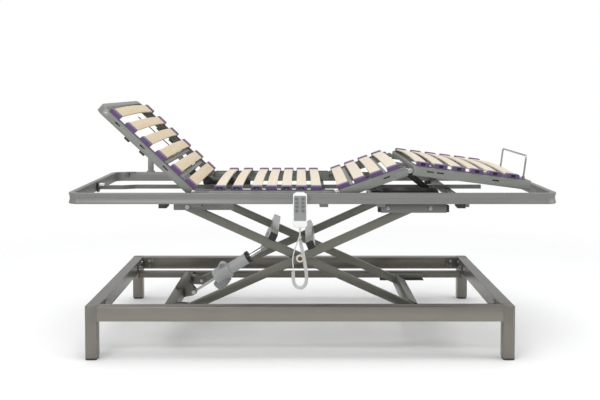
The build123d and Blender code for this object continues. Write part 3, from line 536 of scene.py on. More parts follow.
def axis_place(at: Sequence[float], along: Sequence[float]) -> Matrix:
    """A placement whose Z axis points along a direction.

    Args:
        at: its origin.
        along: its Z direction.

    Returns:
        The placement's matrix.
    """
    turn = Vector((0, 0, 1)).rotation_difference(Vector(along).normalized())
    return Matrix.Translation(at) @ turn.to_matrix().to_4x4()


def about_y(x: float, z: float, degrees: float) -> Matrix:
    """A turn about a line along Y through (x, z)."""
    move = Matrix.Translation((x, 0, z))
    return move @ Matrix.Rotation(math.radians(degrees), 4, "Y") @ move.inverted()


# ---- geometry node trees ----
class TreeMaker:
    """A Geometry Nodes tree with named inputs."""

    def __init__(self, name: str, inputs: Sequence[tuple[str, str]]) -> None:
        """Start a tree.

        Args:
            name: the tree's name.
            inputs: names and socket types after the geometry.
        """
        self.tree = bpy.data.node_groups.new(name, "GeometryNodeTree")
        face = self.tree.interface
        face.new_socket("Geometry", in_out="INPUT", socket_type="NodeSocketGeometry")
        for label, kind in inputs:
            face.new_socket(label, in_out="INPUT", socket_type=kind)
        face.new_socket("Geometry", in_out="OUTPUT", socket_type="NodeSocketGeometry")
        self.given = self.tree.nodes.new("NodeGroupInput")
        self.result = self.tree.nodes.new("NodeGroupOutput")

    def add(self, kind: str, **properties: object) -> bpy.types.Node:
        """Add a node and set its properties."""
        node = self.tree.nodes.new(kind)
        for key, value in properties.items():
            setattr(node, key, value)
        return node

    def join(self, source: bpy.types.NodeSocket, target: bpy.types.NodeSocket) -> None:
        """Link an output to an input."""
        self.tree.links.new(source, target)

    def finish(self, instances: bpy.types.NodeSocket) -> None:
        """End the tree in Realize Instances and Set Material."""
        real = self.add("GeometryNodeRealizeInstances")
        dress = self.add("GeometryNodeSetMaterial")
        self.join(instances, real.inputs[0])
        self.join(real.outputs[0], dress.inputs["Geometry"])
        self.join(self.given.outputs["Finish"], dress.inputs["Material"])
        self.join(dress.outputs[0], self.result.inputs[0])

    def run(
        self, points: Sequence[Sequence[float]], turns: Sequence[Sequence[float]] | None, **values: object
    ) -> bpy.types.Mesh:
        """Run the tree on points and return a plain mesh.

        Args:
            points: where the copies go.
            turns: an Euler turn for each point, in radians, or None for no turn.
            values: the tree's inputs, names with spaces as underscores.

        Returns:
            The evaluated mesh.
        """
        cloud = bpy.data.meshes.new("points")
        cloud.from_pydata([tuple(p) for p in points], [], [])
        turn = cloud.attributes.new("turn", "FLOAT_VECTOR", "POINT")
        flat = [c for t in (turns or [(0, 0, 0)] * len(points)) for c in t]
        turn.data.foreach_set("vector", flat)
        holder = bpy.data.objects.new("points", cloud)
        bpy.context.scene.collection.objects.link(holder)
        modifier = holder.modifiers.new("copies", "NODES")
        modifier.node_group = self.tree
        sockets = {s.name: s.identifier for s in self.tree.interface.items_tree if s.in_out == "INPUT"}
        for key, value in values.items():
            modifier[sockets[key.replace("_", " ")]] = value
        graph = bpy.context.evaluated_depsgraph_get()
        graph.update()
        mesh = bpy.data.meshes.new_from_object(holder.evaluated_get(graph), depsgraph=graph)
        bpy.data.objects.remove(holder)
        bpy.data.meshes.remove(cloud)
        if "turn" in mesh.attributes:
            mesh.attributes.remove(mesh.attributes["turn"])
        return mesh


def copies_tree() -> TreeMaker:
    """A tree that puts copies of a template on points, turned by their "turn" attribute.

    Returns:
        The tree, with inputs Template, Size and Finish.
    """
    maker = TreeMaker(
        "copies on points",
        [("Template", "NodeSocketObject"), ("Size", "NodeSocketFloat"), ("Finish", "NodeSocketMaterial")],
    )
    source = maker.add("GeometryNodeObjectInfo")
    maker.join(maker.given.outputs["Template"], source.inputs["Object"])
    turn = maker.add("GeometryNodeInputNamedAttribute", data_type="FLOAT_VECTOR")
    turn.inputs["Name"].default_value = "turn"
    rotation = maker.add("FunctionNodeEulerToRotation")
    maker.join(turn.outputs["Attribute"], rotation.inputs[0])
    spread = maker.add("GeometryNodeInstanceOnPoints")
    maker.join(maker.given.outputs["Geometry"], spread.inputs["Points"])
    maker.join(source.outputs["Geometry"], spread.inputs["Instance"])
    maker.join(rotation.outputs[0], spread.inputs["Rotation"])
    maker.join(maker.given.outputs["Size"], spread.inputs["Scale"])
    maker.finish(spread.outputs["Instances"])
    return maker


def slat_tree() -> TreeMaker:
    """A tree that bends a rounded strip of wood over each point.

    Returns:
        The tree, with inputs Half Length, Rise, Width, Thickness, Edge Radius, Tone Spread, Seed and
        Finish. Each slat carries a "tone", and its section a "ply" from 0 below to 1 above.
    """
    floats = ["Half Length", "Rise", "Width", "Thickness", "Edge Radius", "Tone Spread"]
    maker = TreeMaker(
        "bowed slats",
        [*((n, "NodeSocketFloat") for n in floats), ("Seed", "NodeSocketInt"), ("Finish", "NodeSocketMaterial")],
    )
    given = maker.given.outputs
    minus = maker.add("ShaderNodeMath", operation="MULTIPLY")
    minus.inputs[1].default_value = -1.0
    maker.join(given["Half Length"], minus.inputs[0])
    ends = []
    for y, z in ((minus.outputs[0], None), (None, given["Rise"]), (given["Half Length"], None)):
        point = maker.add("ShaderNodeCombineXYZ")
        if y is not None:
            maker.join(y, point.inputs["Y"])
        if z is not None:
            maker.join(z, point.inputs["Z"])
        ends.append(point.outputs[0])
    bow = maker.add("GeometryNodeCurveArc", mode="POINTS")
    bow.inputs["Resolution"].default_value = 33
    for socket, name in zip(ends, ("Start", "Middle", "End")):
        maker.join(socket, bow.inputs[name])
    level = maker.add("GeometryNodeSetCurveNormal", mode="Z_UP")
    maker.join(bow.outputs["Curve"], level.inputs["Curve"])
    section = maker.add("GeometryNodeCurvePrimitiveQuadrilateral", mode="RECTANGLE")
    maker.join(given["Width"], section.inputs["Width"])
    maker.join(given["Thickness"], section.inputs["Height"])
    rounded = maker.add("GeometryNodeFilletCurve", mode="POLY")
    rounded.inputs["Count"].default_value = 3
    maker.join(section.outputs["Curve"], rounded.inputs["Curve"])
    maker.join(given["Edge Radius"], rounded.inputs["Radius"])
    where = maker.add("GeometryNodeInputPosition")
    parts = maker.add("ShaderNodeSeparateXYZ")
    maker.join(where.outputs[0], parts.inputs[0])
    share = maker.add("ShaderNodeMath", operation="DIVIDE")
    maker.join(parts.outputs["Y"], share.inputs[0])
    maker.join(given["Thickness"], share.inputs[1])
    ply = maker.add("ShaderNodeMath", operation="ADD")
    ply.inputs[1].default_value = 0.5
    maker.join(share.outputs[0], ply.inputs[0])
    store = maker.add("GeometryNodeStoreNamedAttribute", data_type="FLOAT", domain="POINT")
    store.inputs["Name"].default_value = "ply"
    maker.join(rounded.outputs["Curve"], store.inputs["Geometry"])
    maker.join(ply.outputs[0], store.inputs["Value"])
    skin = maker.add("GeometryNodeCurveToMesh")
    skin.inputs["Fill Caps"].default_value = True
    maker.join(level.outputs["Curve"], skin.inputs["Curve"])
    maker.join(store.outputs["Geometry"], skin.inputs["Profile Curve"])
    spread = maker.add("GeometryNodeInstanceOnPoints")
    maker.join(given["Geometry"], spread.inputs["Points"])
    maker.join(skin.outputs["Mesh"], spread.inputs["Instance"])
    chance = maker.add("FunctionNodeRandomValue", data_type="FLOAT")
    maker.join(given["Tone Spread"], chance.inputs[3])
    maker.join(given["Seed"], chance.inputs["Seed"])
    tone = maker.add("GeometryNodeStoreNamedAttribute", data_type="FLOAT", domain="INSTANCE")
    tone.inputs["Name"].default_value = "tone"
    maker.join(spread.outputs["Instances"], tone.inputs["Geometry"])
    maker.join(chance.outputs[1], tone.inputs["Value"])
    maker.finish(tone.outputs["Geometry"])
    return maker


@dataclass
class Workshop:
    """The palette, the node trees and the templates that the sub-assemblies share."""

    palette: Palette = field(default_factory=Palette)
    copies: TreeMaker = field(default_factory=copies_tree)
    slats: TreeMaker = field(default_factory=slat_tree)

    def piece(
        self,
        mesh: bpy.types.Mesh,
        name: str,
        finish: str,
        body: str,
        slot: str,
        place: Matrix | None = None,
        stands_for: Iterable[str] = (),
        smooth: float = 32.0,
    ) -> bpy.types.Object:
        """Turn a mesh into a piece of the bed.

        Args:
            mesh: its mesh.
            name: the piece's name.
            finish: its finish's name.
            body: the body it rides on.
            slot: the name of a material slot; not used.
            place: where it goes, put into its mesh.
            stands_for: nodes that it replaces.
            smooth: edges sharper than this many degrees stay sharp.

        Returns:
            The object, at the origin.
        """
        if place is not None:
            mesh.transform(place)
        mesh.materials.clear()
        mesh.materials.append(self.palette[finish])
        mesh.polygons.foreach_set("use_smooth", [True] * len(mesh.polygons))
        mesh.set_sharp_from_angle(angle=math.radians(smooth))
        mesh.name = name
        piece = bpy.data.objects.new(name, mesh)
        bpy.context.scene.collection.objects.link(piece)
        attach(piece, body)
        if stands_for:
            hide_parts(*stands_for)
        LOG.info("%s on %s: %d faces", name, body, len(mesh.polygons))
        return piece

    def repeat(
        self,
        shape: Shape,
        points: Sequence[Sequence[float]],
        turns: Sequence[Sequence[float]] | None,
        finish: str,
    ) -> bpy.types.Mesh:
        """Put copies of a shape on points and return one mesh.

        Args:
            shape: the template, about the origin.
            points: where the copies go.
            turns: an Euler turn for each, or None.
            finish: the finish's name.

        Returns:
            The mesh of all the copies.
        """
        template = bpy.data.objects.new("template", shape.mesh("template"))
        bpy.context.scene.collection.objects.link(template)
        mesh = self.copies.run(points, turns, Template=template, Size=1.0, Finish=self.palette[finish])
        old = template.data
        bpy.data.objects.remove(template)
        bpy.data.meshes.remove(old)
        return mesh


# ---- carried-over metalwork ----
@dataclass(frozen=True)
class Softened:
    """A carried-over node whose sharp edges are broken by a small radius."""

    node: str
    body: str
    finish: str
    slot: str
    radius: float = 0.0012

    def make(self, nodes: dict[str, bpy.types.Object], shop: Workshop) -> bpy.types.Object:
        """Copy the node, merge it, and bevel its sharp outer edges.

        Args:
            nodes: the frame's nodes.
            shop: the shared palette and trees.

        Returns:
            The piece that stands for the node.
        """
        work = bmesh.new()
        work.from_mesh(nodes[self.node].data)
        bmesh.ops.remove_doubles(work, verts=work.verts, dist=SAME_POINT)
        bmesh.ops.dissolve_limit(work, angle_limit=NEARLY_FLAT, verts=work.verts, edges=work.edges)
        sharp = [
            e
            for e in work.edges
            if len(e.link_faces) == 2
            and e.is_convex
            and e.calc_face_angle(0.0) > SOFTENED_FROM
            and e.calc_length() > self.radius
        ]
        bmesh.ops.bevel(
            work, geom=sharp, offset=self.radius, offset_type="OFFSET", segments=2, profile=0.5,
            affect="EDGES", clamp_overlap=True, loop_slide=True,
        )
        bmesh.ops.triangulate(work, faces=[f for f in work.faces if len(f.verts) > 4])
        mesh = bpy.data.meshes.new(self.node)
        work.to_mesh(mesh)
        work.free()
        if "custom_normal" in mesh.attributes:
            mesh.attributes.remove(mesh.attributes["custom_normal"])
        name = f"{self.node}_finished"
        return shop.piece(mesh, name, self.finish, self.body, self.slot, stands_for=[self.node])


METALWORK = (
    Softened("base_rails", "base", "floor frame steel", "frame_steel", 0.003),
    Softened("base_legs", "base", "leg steel", "frame_steel", 0.0025),
    Softened("corner_brackets", "base", "inner frame steel", "frame_steel", 0.0008),
    Softened("inner_frame", "base", "inner frame steel", "frame_steel", 0.0018),
    Softened("base_roller_guides", "base", "inner frame steel", "frame_steel", 0.001),
    Softened("pivot_brackets", "base", "inner frame steel", "frame_steel", 0.0008),
    Softened("arm_a_bars", "arm_a", "scissor paint", "arm_paint", 0.002),
    Softened("arm_b_bars", "arm_b", "scissor paint", "arm_paint", 0.002),
    Softened("arm_b_foot_tube", "arm_b", "scissor paint", "arm_paint", 0.002),
    Softened("lift_clevis", "arm_b", "zinc", "arm_paint", 0.0008),
    Softened("arm_a_cross_tube", "arm_a", "cross tube aluminium", "cross_aluminium", 0.0009),
    Softened("arm_b_cross_tube", "arm_b", "cross tube aluminium", "cross_aluminium", 0.0009),
    Softened("platform_rails", "platform", "rim steel", "platform_steel", 0.0015),
    Softened("cross_members", "platform", "under frame steel", "platform_steel", 0.0015),
    Softened("head_channels", "platform", "under frame steel", "platform_steel", 0.001),
    Softened("platform_roller_guides", "platform", "under frame steel", "platform_steel", 0.001),
    Softened("guard_post", "platform", "rim steel", "platform_steel", 0.001),
    Softened("seat_rails", "platform", "section paint", "section_paint", 0.0012),
    Softened("back_frame", "back", "section paint", "section_paint", 0.0012),
    Softened("thigh_frame", "thigh", "section paint", "section_paint", 0.0012),
    Softened("leg_frame", "lower_leg", "section paint", "section_paint", 0.0012),
    Softened("stop_blocks", "platform", "black plastic", "black_plastic", 0.0012),
    Softened("back_drive", "platform", "black plastic", "black_plastic", 0.0015),
    Softened("leg_drive", "platform", "black plastic", "black_plastic", 0.0015),
    Softened("back_lever", "back_lever", "black plastic", "black_plastic", 0.0012),
    Softened("leg_lever", "leg_lever", "black plastic", "black_plastic", 0.0012),
    Softened("lift_outer_tube", "lift_housing", "actuator grey", "actuator_plastic", 0.0008),
)

CARRIED = {
    "foot_glides": "glide plastic",
    "base_bolts": "zinc",
    "platform_bolts": "zinc",
    "platform_corners": "rim steel",
    "centre_rail": "under frame steel",
    "centre_pivots": "pivot white",
    "low_wheelset": "zinc",
    "top_wheelset": "zinc",
    "lift_gearbox": "actuator grey",
    "lift_motor": "motor grey",
    "lift_inner_tube": "polished rod",
    "mattress_retainer": "retainer wire",
    "handset_body": "handset white",
    "handset_face": "handset film",
    "cord_fittings": "cord sheath",
}


def dress_carried(nodes: dict[str, bpy.types.Object], palette: Palette) -> None:
    """Give each carried-over node its finish.

    Args:
        nodes: the frame's nodes.
        palette: the finishes.
    """
    for node, finish in CARRIED.items():
        data = nodes[node].data
        data.materials.clear()
        data.materials.append(palette[finish])
        LOG.info("%s keeps its shape in %s", node, finish)


# ---- slatted sections ----
@dataclass
class SlattedSection:
    """One section's slats, rubber caps and the strip along each of its rails."""

    name: str
    body: str
    wood: str
    tilt: Matrix
    rail_top: float
    slat_x: list[float]
    faces: list[CapFace]
    strip_x: tuple[float, float]
    rail_y: float
    seed: int
    slat_width: float = 48 * MM
    slat_thick: float = 8 * MM
    slat_half: float = 397 * MM
    rise: float = 11 * MM
    seat: float = 5 * MM
    cap_width: float = 53 * MM
    cap_height: float = 19 * MM
    cap_in: float = 370 * MM
    cap_out: float = 412 * MM

    def build(self, shop: Workshop) -> None:
        """Make every piece of the section.

        Args:
            shop: the shared palette and trees.
        """
        self._slats(shop)
        self._caps(shop)
        self._strips(shop)

    def _slats(self, shop: Workshop) -> None:
        """Bowed slats in place of the plain ones."""
        z = self.rail_top + self.seat + self.slat_thick / 2
        mesh = shop.slats.run(
            [(x, 0, z) for x in self.slat_x], None,
            Half_Length=self.slat_half, Rise=self.rise, Width=self.slat_width, Thickness=self.slat_thick,
            Edge_Radius=2.4 * MM, Tone_Spread=0.34, Seed=self.seed, Finish=shop.palette[self.wood],
        )
        shop.piece(mesh, f"{self.name}_slats_beech", self.wood, self.body, "beech", self.tilt,
                   [f"{self.name}_slats"])

    def _spots(self, kind: CapFace) -> tuple[list[Vector], list[tuple[float, float, float]]]:
        """Where the caps of one kind go on both rails, and how they are turned."""
        points, turns = [], []
        for x, face in zip(self.slat_x, self.faces):
            if face is kind:
                for side in Side:
                    points.append(Vector((x, 0, self.rail_top)))
                    turns.append((0.0, 0.0, 0.0 if side is Side.FAR else math.pi))
        return points, turns

    @staticmethod
    def _outwards(height: float) -> Matrix:
        """A placement at a height above the rail whose Z axis points out of a cap's face."""
        return Matrix.Translation((0, 0, height)) @ Matrix.Rotation(-math.pi / 2, 4, "X")

    def _cap(self, kind: CapFace) -> Shape:
        """A cap with its outer face of one kind; the rail's top is z = 0 and Y is outwards."""
        w, h = self.cap_width, self.cap_height
        full = rounded_outline(w, h, 5.5 * MM, 4)
        waist = rounded_outline(w - 2.2 * MM, h - 1.6 * MM, 5 * MM, 4)
        lip = rounded_outline(w - 3 * MM, h - 3 * MM, 4.5 * MM, 4)
        place = self._outwards(h / 2)
        levels: list[tuple[Outline, float]] = [(lip, self.cap_in), (full, self.cap_in + 2 * MM)]
        if kind is CapFace.RIBBED:
            y = self.cap_in + 8 * MM
            while y < self.cap_out - 8 * MM:
                levels += [(full, y), (waist, y + 0.8 * MM), (waist, y + 2.0 * MM), (full, y + 2.8 * MM)]
                y += 6 * MM
        else:
            levels += [(full, self.cap_in + 9 * MM), (waist, self.cap_in + 10 * MM),
                       (waist, self.cap_in + 12 * MM), (full, self.cap_in + 13 * MM)]
        levels += [(full, self.cap_out - 1.6 * MM), (lip, self.cap_out)]
        if kind is CapFace.OVAL:
            levels += [(ellipse_like(lip, 27 * MM, 11.5 * MM), self.cap_out),
                       (ellipse_like(lip, 25.5 * MM, 10.5 * MM), self.cap_out - 6 * MM)]
        elif kind is CapFace.SQUARE:
            levels += [(rounded_outline(19 * MM, 12 * MM, 2 * MM, 4), self.cap_out),
                       (rounded_outline(18 * MM, 11 * MM, 2 * MM, 4), self.cap_out - 6 * MM)]
        return Shape().stack(levels, place)

    def _shaded_floor(self, kind: CapFace) -> Shape:
        """A dark plate in a cap's opening: painted shade for the inside of the hole."""
        place = self._outwards(self.cap_height / 2)
        if kind is CapFace.OVAL:
            ring = ellipse_like(circle_outline(1.0, 20), 25.6 * MM, 10.6 * MM)
            small = ellipse_like(circle_outline(1.0, 20), 22 * MM, 8 * MM)
        else:
            ring = rounded_outline(18.1 * MM, 11.1 * MM, 2 * MM, 4)
            small = rounded_outline(14 * MM, 8 * MM, 1.5 * MM, 4)
        out = self.cap_out
        return Shape().stack([(ring, out - 6.5 * MM), (ring, out - 4.4 * MM), (small, out - 5 * MM)], place)

    def _caps(self, shop: Workshop) -> None:
        """Rubber caps on both rails, by kind, with painted shade on the floors of their openings and a painted
        green glint in the oval ones.
        """
        stands_for = [f"{self.name}_caps"]
        for kind in dict.fromkeys(self.faces):
            points, turns = self._spots(kind)
            mesh = shop.repeat(self._cap(kind), points, turns, "purple rubber")
            shop.piece(mesh, f"{self.name}_caps_{kind.value}", "purple rubber", self.body,
                       "cap_rubber", self.tilt, stands_for)
            stands_for = []
            if kind in (CapFace.OVAL, CapFace.SQUARE):
                # A dark plate at the floor of each opening is painted shade.
                mesh = shop.repeat(self._shaded_floor(kind), points, turns, "cap pocket")
                shop.piece(mesh, f"{self.name}_cap_pockets", "cap pocket", self.body,
                           "cap_rubber", self.tilt)
            if kind is CapFace.OVAL:
                # A small green patch low in each oval opening is a painted glint.
                glint_outline = rounded_outline(9 * MM, 2.6 * MM, 1.2 * MM, 3)
                place = self._outwards(self.cap_height / 2 - 2.4 * MM)
                out = self.cap_out
                shape = Shape().stack([(glint_outline, out - 6 * MM), (glint_outline, out - 3.4 * MM)], place)
                mesh = shop.repeat(shape, points, turns, "green pad")
                shop.piece(mesh, f"{self.name}_cap_pads", "green pad", self.body, "cap_rubber", self.tilt)

    def _strips(self, shop: Workshop) -> None:
        """The rubber strip that joins the caps along each rail."""
        shape = Shape()
        for side in Side:
            y = side.value * self.rail_y
            x0, x1 = self.strip_x
            low = (x0, y - 8.5 * MM, self.rail_top - 0.4 * MM)
            shape.box(low, (x1, y + 8.5 * MM, self.rail_top + 3.4 * MM), 1.2 * MM)
        shop.piece(shape.mesh("strip"), f"{self.name}_rail_strips", "dark purple rubber", self.body,
                   "cap_rubber", self.tilt)


# ---- fasteners ----
@dataclass(frozen=True)
class HeadRow:
    """Domed socket heads with washers on bolts that share a body and a size."""

    name: str
    body: str
    radius: float
    spots: tuple[tuple[tuple[float, float, float], tuple[float, float, float]], ...]

    def build(self, shop: Workshop) -> None:
        """Make the heads.

        Args:
            shop: the shared palette and trees.
        """
        r = self.radius
        edge = circle_outline(r)
        shape = Shape()
        washer = circle_outline(r * 1.3)
        rim = circle_outline(r * 1.24)
        place = Matrix.Identity(4)
        shape.stack([(washer, -0.3 * MM), (washer, 0.7 * MM), (rim, 1.0 * MM)], place)
        height = r * 0.62
        shape.stack(
            [
                (edge, 0.5 * MM), (edge, height * 0.45), (circle_outline(r * 0.93), height * 0.75),
                (circle_outline(r * 0.72), height), (hexagon_like(edge, r * 0.86), height),
                (hexagon_like(edge, r * 0.82), height * 0.35),
            ],
            place,
        )
        points = [at for at, _ in self.spots]
        turns = [tuple(Vector((0, 0, 1)).rotation_difference(Vector(d)).to_euler()) for _, d in self.spots]
        mesh = shop.repeat(shape, points, turns, "zinc")
        shop.piece(mesh, self.name, "zinc", self.body, "zinc", smooth=40)


# ---- scissor details ----
@dataclass
class ScissorTrim:
    """Black end plugs in the cross tubes and the bushes at the crossing."""

    crossing_z: float
    washer_y: float = 286.3 * MM
    plug: float = 34 * MM

    def build(self, shop: Workshop) -> None:
        """Make the plugs and the bushes.

        Args:
            shop: the shared palette and trees.
        """
        for node, body in (("arm_a_cross_tube", "arm_a"), ("arm_b_cross_tube", "arm_b")):
            self._plugs(shop, node, body)
        self._bushes(shop)

    def _plugs(self, shop: Workshop, node: str, body: str) -> None:
        """Square moulded plugs in both ends of a cross tube."""
        low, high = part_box(node)
        tilt = 1 if body == "arm_b" else -1
        angle = tilt * math.radians(ARM_ANGLE)
        middle = (low + high) / 2
        outer = rounded_outline(self.plug, self.plug, 3.5 * MM, 3)
        face = rounded_outline(self.plug - 3 * MM, self.plug - 3 * MM, 3 * MM, 3)
        dish = rounded_outline(self.plug - 12 * MM, self.plug - 12 * MM, 3 * MM, 3)
        shape = Shape()
        for side in Side:
            end = high.y if side is Side.FAR else low.y
            turn = Matrix.Rotation(angle, 4, "Y") @ Matrix.Rotation(-side.value * math.pi / 2, 4, "X")
            place = Matrix.Translation((middle.x, end, middle.z)) @ turn
            shape.stack(
                [
                    (face, -6 * MM), (outer, 0), (outer, 2.6 * MM),
                    (face, 4 * MM), (dish, 4 * MM), (dish, 2.8 * MM),
                ],
                place,
            )
        shop.piece(shape.mesh("plugs"), f"{body}_tube_plugs", "black plastic", body, "cross_aluminium")

    def _bushes(self, shop: Workshop) -> None:
        """A bronze-coloured domed bush in the middle of each white washer."""
        levels = [
            (circle_outline(9.6 * MM), 0.0), (circle_outline(9.6 * MM), 2.2 * MM),
            (circle_outline(8.4 * MM), 3.4 * MM), (circle_outline(4.6 * MM), 3.9 * MM),
            (circle_outline(4.2 * MM), 3.1 * MM),
        ]
        points, turns = [], []
        for side in Side:
            points.append((SHIFT_X, side.value * (self.washer_y + 3.2 * MM), self.crossing_z))
            turns.append((-side.value * math.pi / 2, 0, 0))
        mesh = shop.repeat(Shape().stack(levels, Matrix.Identity(4)), points, turns, "bronze bush")
        shop.piece(mesh, "crossing_bushes", "bronze bush", "arm_b", "pivot_white")


# ---- lift actuator ----
@dataclass
class ActuatorTrim:
    """Ribs, the mouth's collar and the knob's caps on the lift actuator's housing."""

    rear: Vector
    angle: float
    body_from: float = 118 * MM
    body_to: float = 200 * MM
    mouth: float = 310 * MM

    def build(self, shop: Workshop) -> None:
        """Make the ribs, the collar and the caps.

        Args:
            shop: the shared palette and trees.
        """
        along = Vector((math.cos(self.angle), 0, math.sin(self.angle)))
        across = Vector((-math.sin(self.angle), 0, math.cos(self.angle)))
        rib = Shape()
        ring = circle_outline(38 * MM, 48)
        inner = circle_outline(35 * MM, 48)
        levels = [(inner, -2.1 * MM), (ring, -1.2 * MM), (ring, 1.2 * MM), (inner, 2.1 * MM)]
        rib.stack(levels, Matrix.Identity(4))
        turn = tuple(Vector((0, 0, 1)).rotation_difference(along).to_euler())
        points = [self.rear + along * (self.body_from + (14 + 9 * i) * MM) for i in range(7)]
        mesh = shop.repeat(rib, points, [turn] * len(points), "actuator grey")
        shop.piece(mesh, "lift_housing_ribs", "actuator grey", "lift_housing", "actuator_plastic")
        collar = Shape()
        levels = [
            (circle_outline(27 * MM, 40), -16 * MM), (circle_outline(29.5 * MM, 40), -14 * MM),
            (circle_outline(29.5 * MM, 40), -1 * MM), (circle_outline(28 * MM, 40), 0.6 * MM),
            (circle_outline(23.4 * MM, 40), 0.6 * MM), (circle_outline(23.4 * MM, 40), -12 * MM),
        ]
        collar.stack(levels, axis_place(self.rear + along * self.mouth, along))
        shop.piece(collar.mesh("collar"), "lift_mouth_collar", "black plastic", "lift_housing",
                   "actuator_plastic")
        caps = Shape()
        knob = self.rear + along * (self.body_to - 22 * MM) + across * 30 * MM
        for side in Side:
            caps.stack(
                [
                    (circle_outline(15 * MM, 32), 21.6 * MM), (circle_outline(15 * MM, 32), 25.2 * MM),
                    (circle_outline(13.5 * MM, 32), 26.4 * MM), (circle_outline(8 * MM, 32), 26.4 * MM),
                    (circle_outline(7 * MM, 32), 25.0 * MM),
                ],
                axis_place(knob, (0, side.value, 0)),
            )
        shop.piece(caps.mesh("knob caps"), "lift_knob_caps", "motor grey", "lift_housing", "motor_grey")


# ---- handset and cord ----
@dataclass
class Handset:
    """Domed keys and the end cap of the wired handset."""

    key_x: tuple[float, float] = (-13 * MM, 12.5 * MM)
    key_z: tuple[float, ...] = (655 * MM, 639 * MM, 622.5 * MM, 606 * MM)
    key_width: float = 14 * MM
    key_height: float = 11 * MM
    back_y: float = -451.5 * MM

    def build(self, shop: Workshop) -> None:
        """Make the keys and the end cap.

        Args:
            shop: the shared palette and trees.
        """
        number = 0
        for z in self.key_z:
            for x in self.key_x:
                number += 1
                self._key(shop, number, x + SHIFT_X, z)
        self._end_cap(shop)

    def _key(self, shop: Workshop, number: int, x: float, z: float) -> None:
        """One oval key with a shallow dish in its middle."""
        low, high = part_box(f"handset_button_{number}")
        base = circle_outline(1.0, 28)
        w, h = self.key_width, self.key_height
        levels = [
            (ellipse_like(base, w, h), 0.0), (ellipse_like(base, w, h), (high.y - low.y) - 1.1 * MM),
            (ellipse_like(base, w * 0.95, h * 0.94), (high.y - low.y) - 0.35 * MM),
            (ellipse_like(base, w * 0.84, h * 0.8), high.y - low.y),
            (ellipse_like(base, w * 0.5, h * 0.45), (high.y - low.y) - 0.45 * MM),
        ]
        shape = Shape().stack(levels, axis_place((x, high.y, z), (0, -1, 0)))
        shop.piece(shape.mesh("key"), f"handset_key_{number}", "key rubber", f"button_{number}",
                   "button_grey", stands_for=[f"handset_button_{number}"])

    def _end_cap(self, shop: Workshop) -> None:
        """The slightly wider cap round the handset's lower end."""
        low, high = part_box("handset_body")
        front, back = low.y, self.back_y
        middle, depth = (front + back) / 2, back - front
        width = high.x - low.x
        wide = rounded_outline(width + 2.4 * MM, depth + 1.8 * MM, 7 * MM, 5)
        slim = rounded_outline(width - 4 * MM, depth - 2 * MM, 6 * MM, 5)
        tail = rounded_outline(width - 22 * MM, depth - 8 * MM, 5 * MM, 5)
        place = Matrix.Translation(((low.x + high.x) / 2, middle, low.z))
        levels = [(tail, -0.8 * MM), (slim, 2.6 * MM), (wide, 8 * MM), (wide, 22 * MM), (slim, 23.4 * MM)]
        shop.piece(Shape().stack(levels, place).mesh("end cap"), "handset_end_cap", "handset white",
                   "platform", "handset_white")


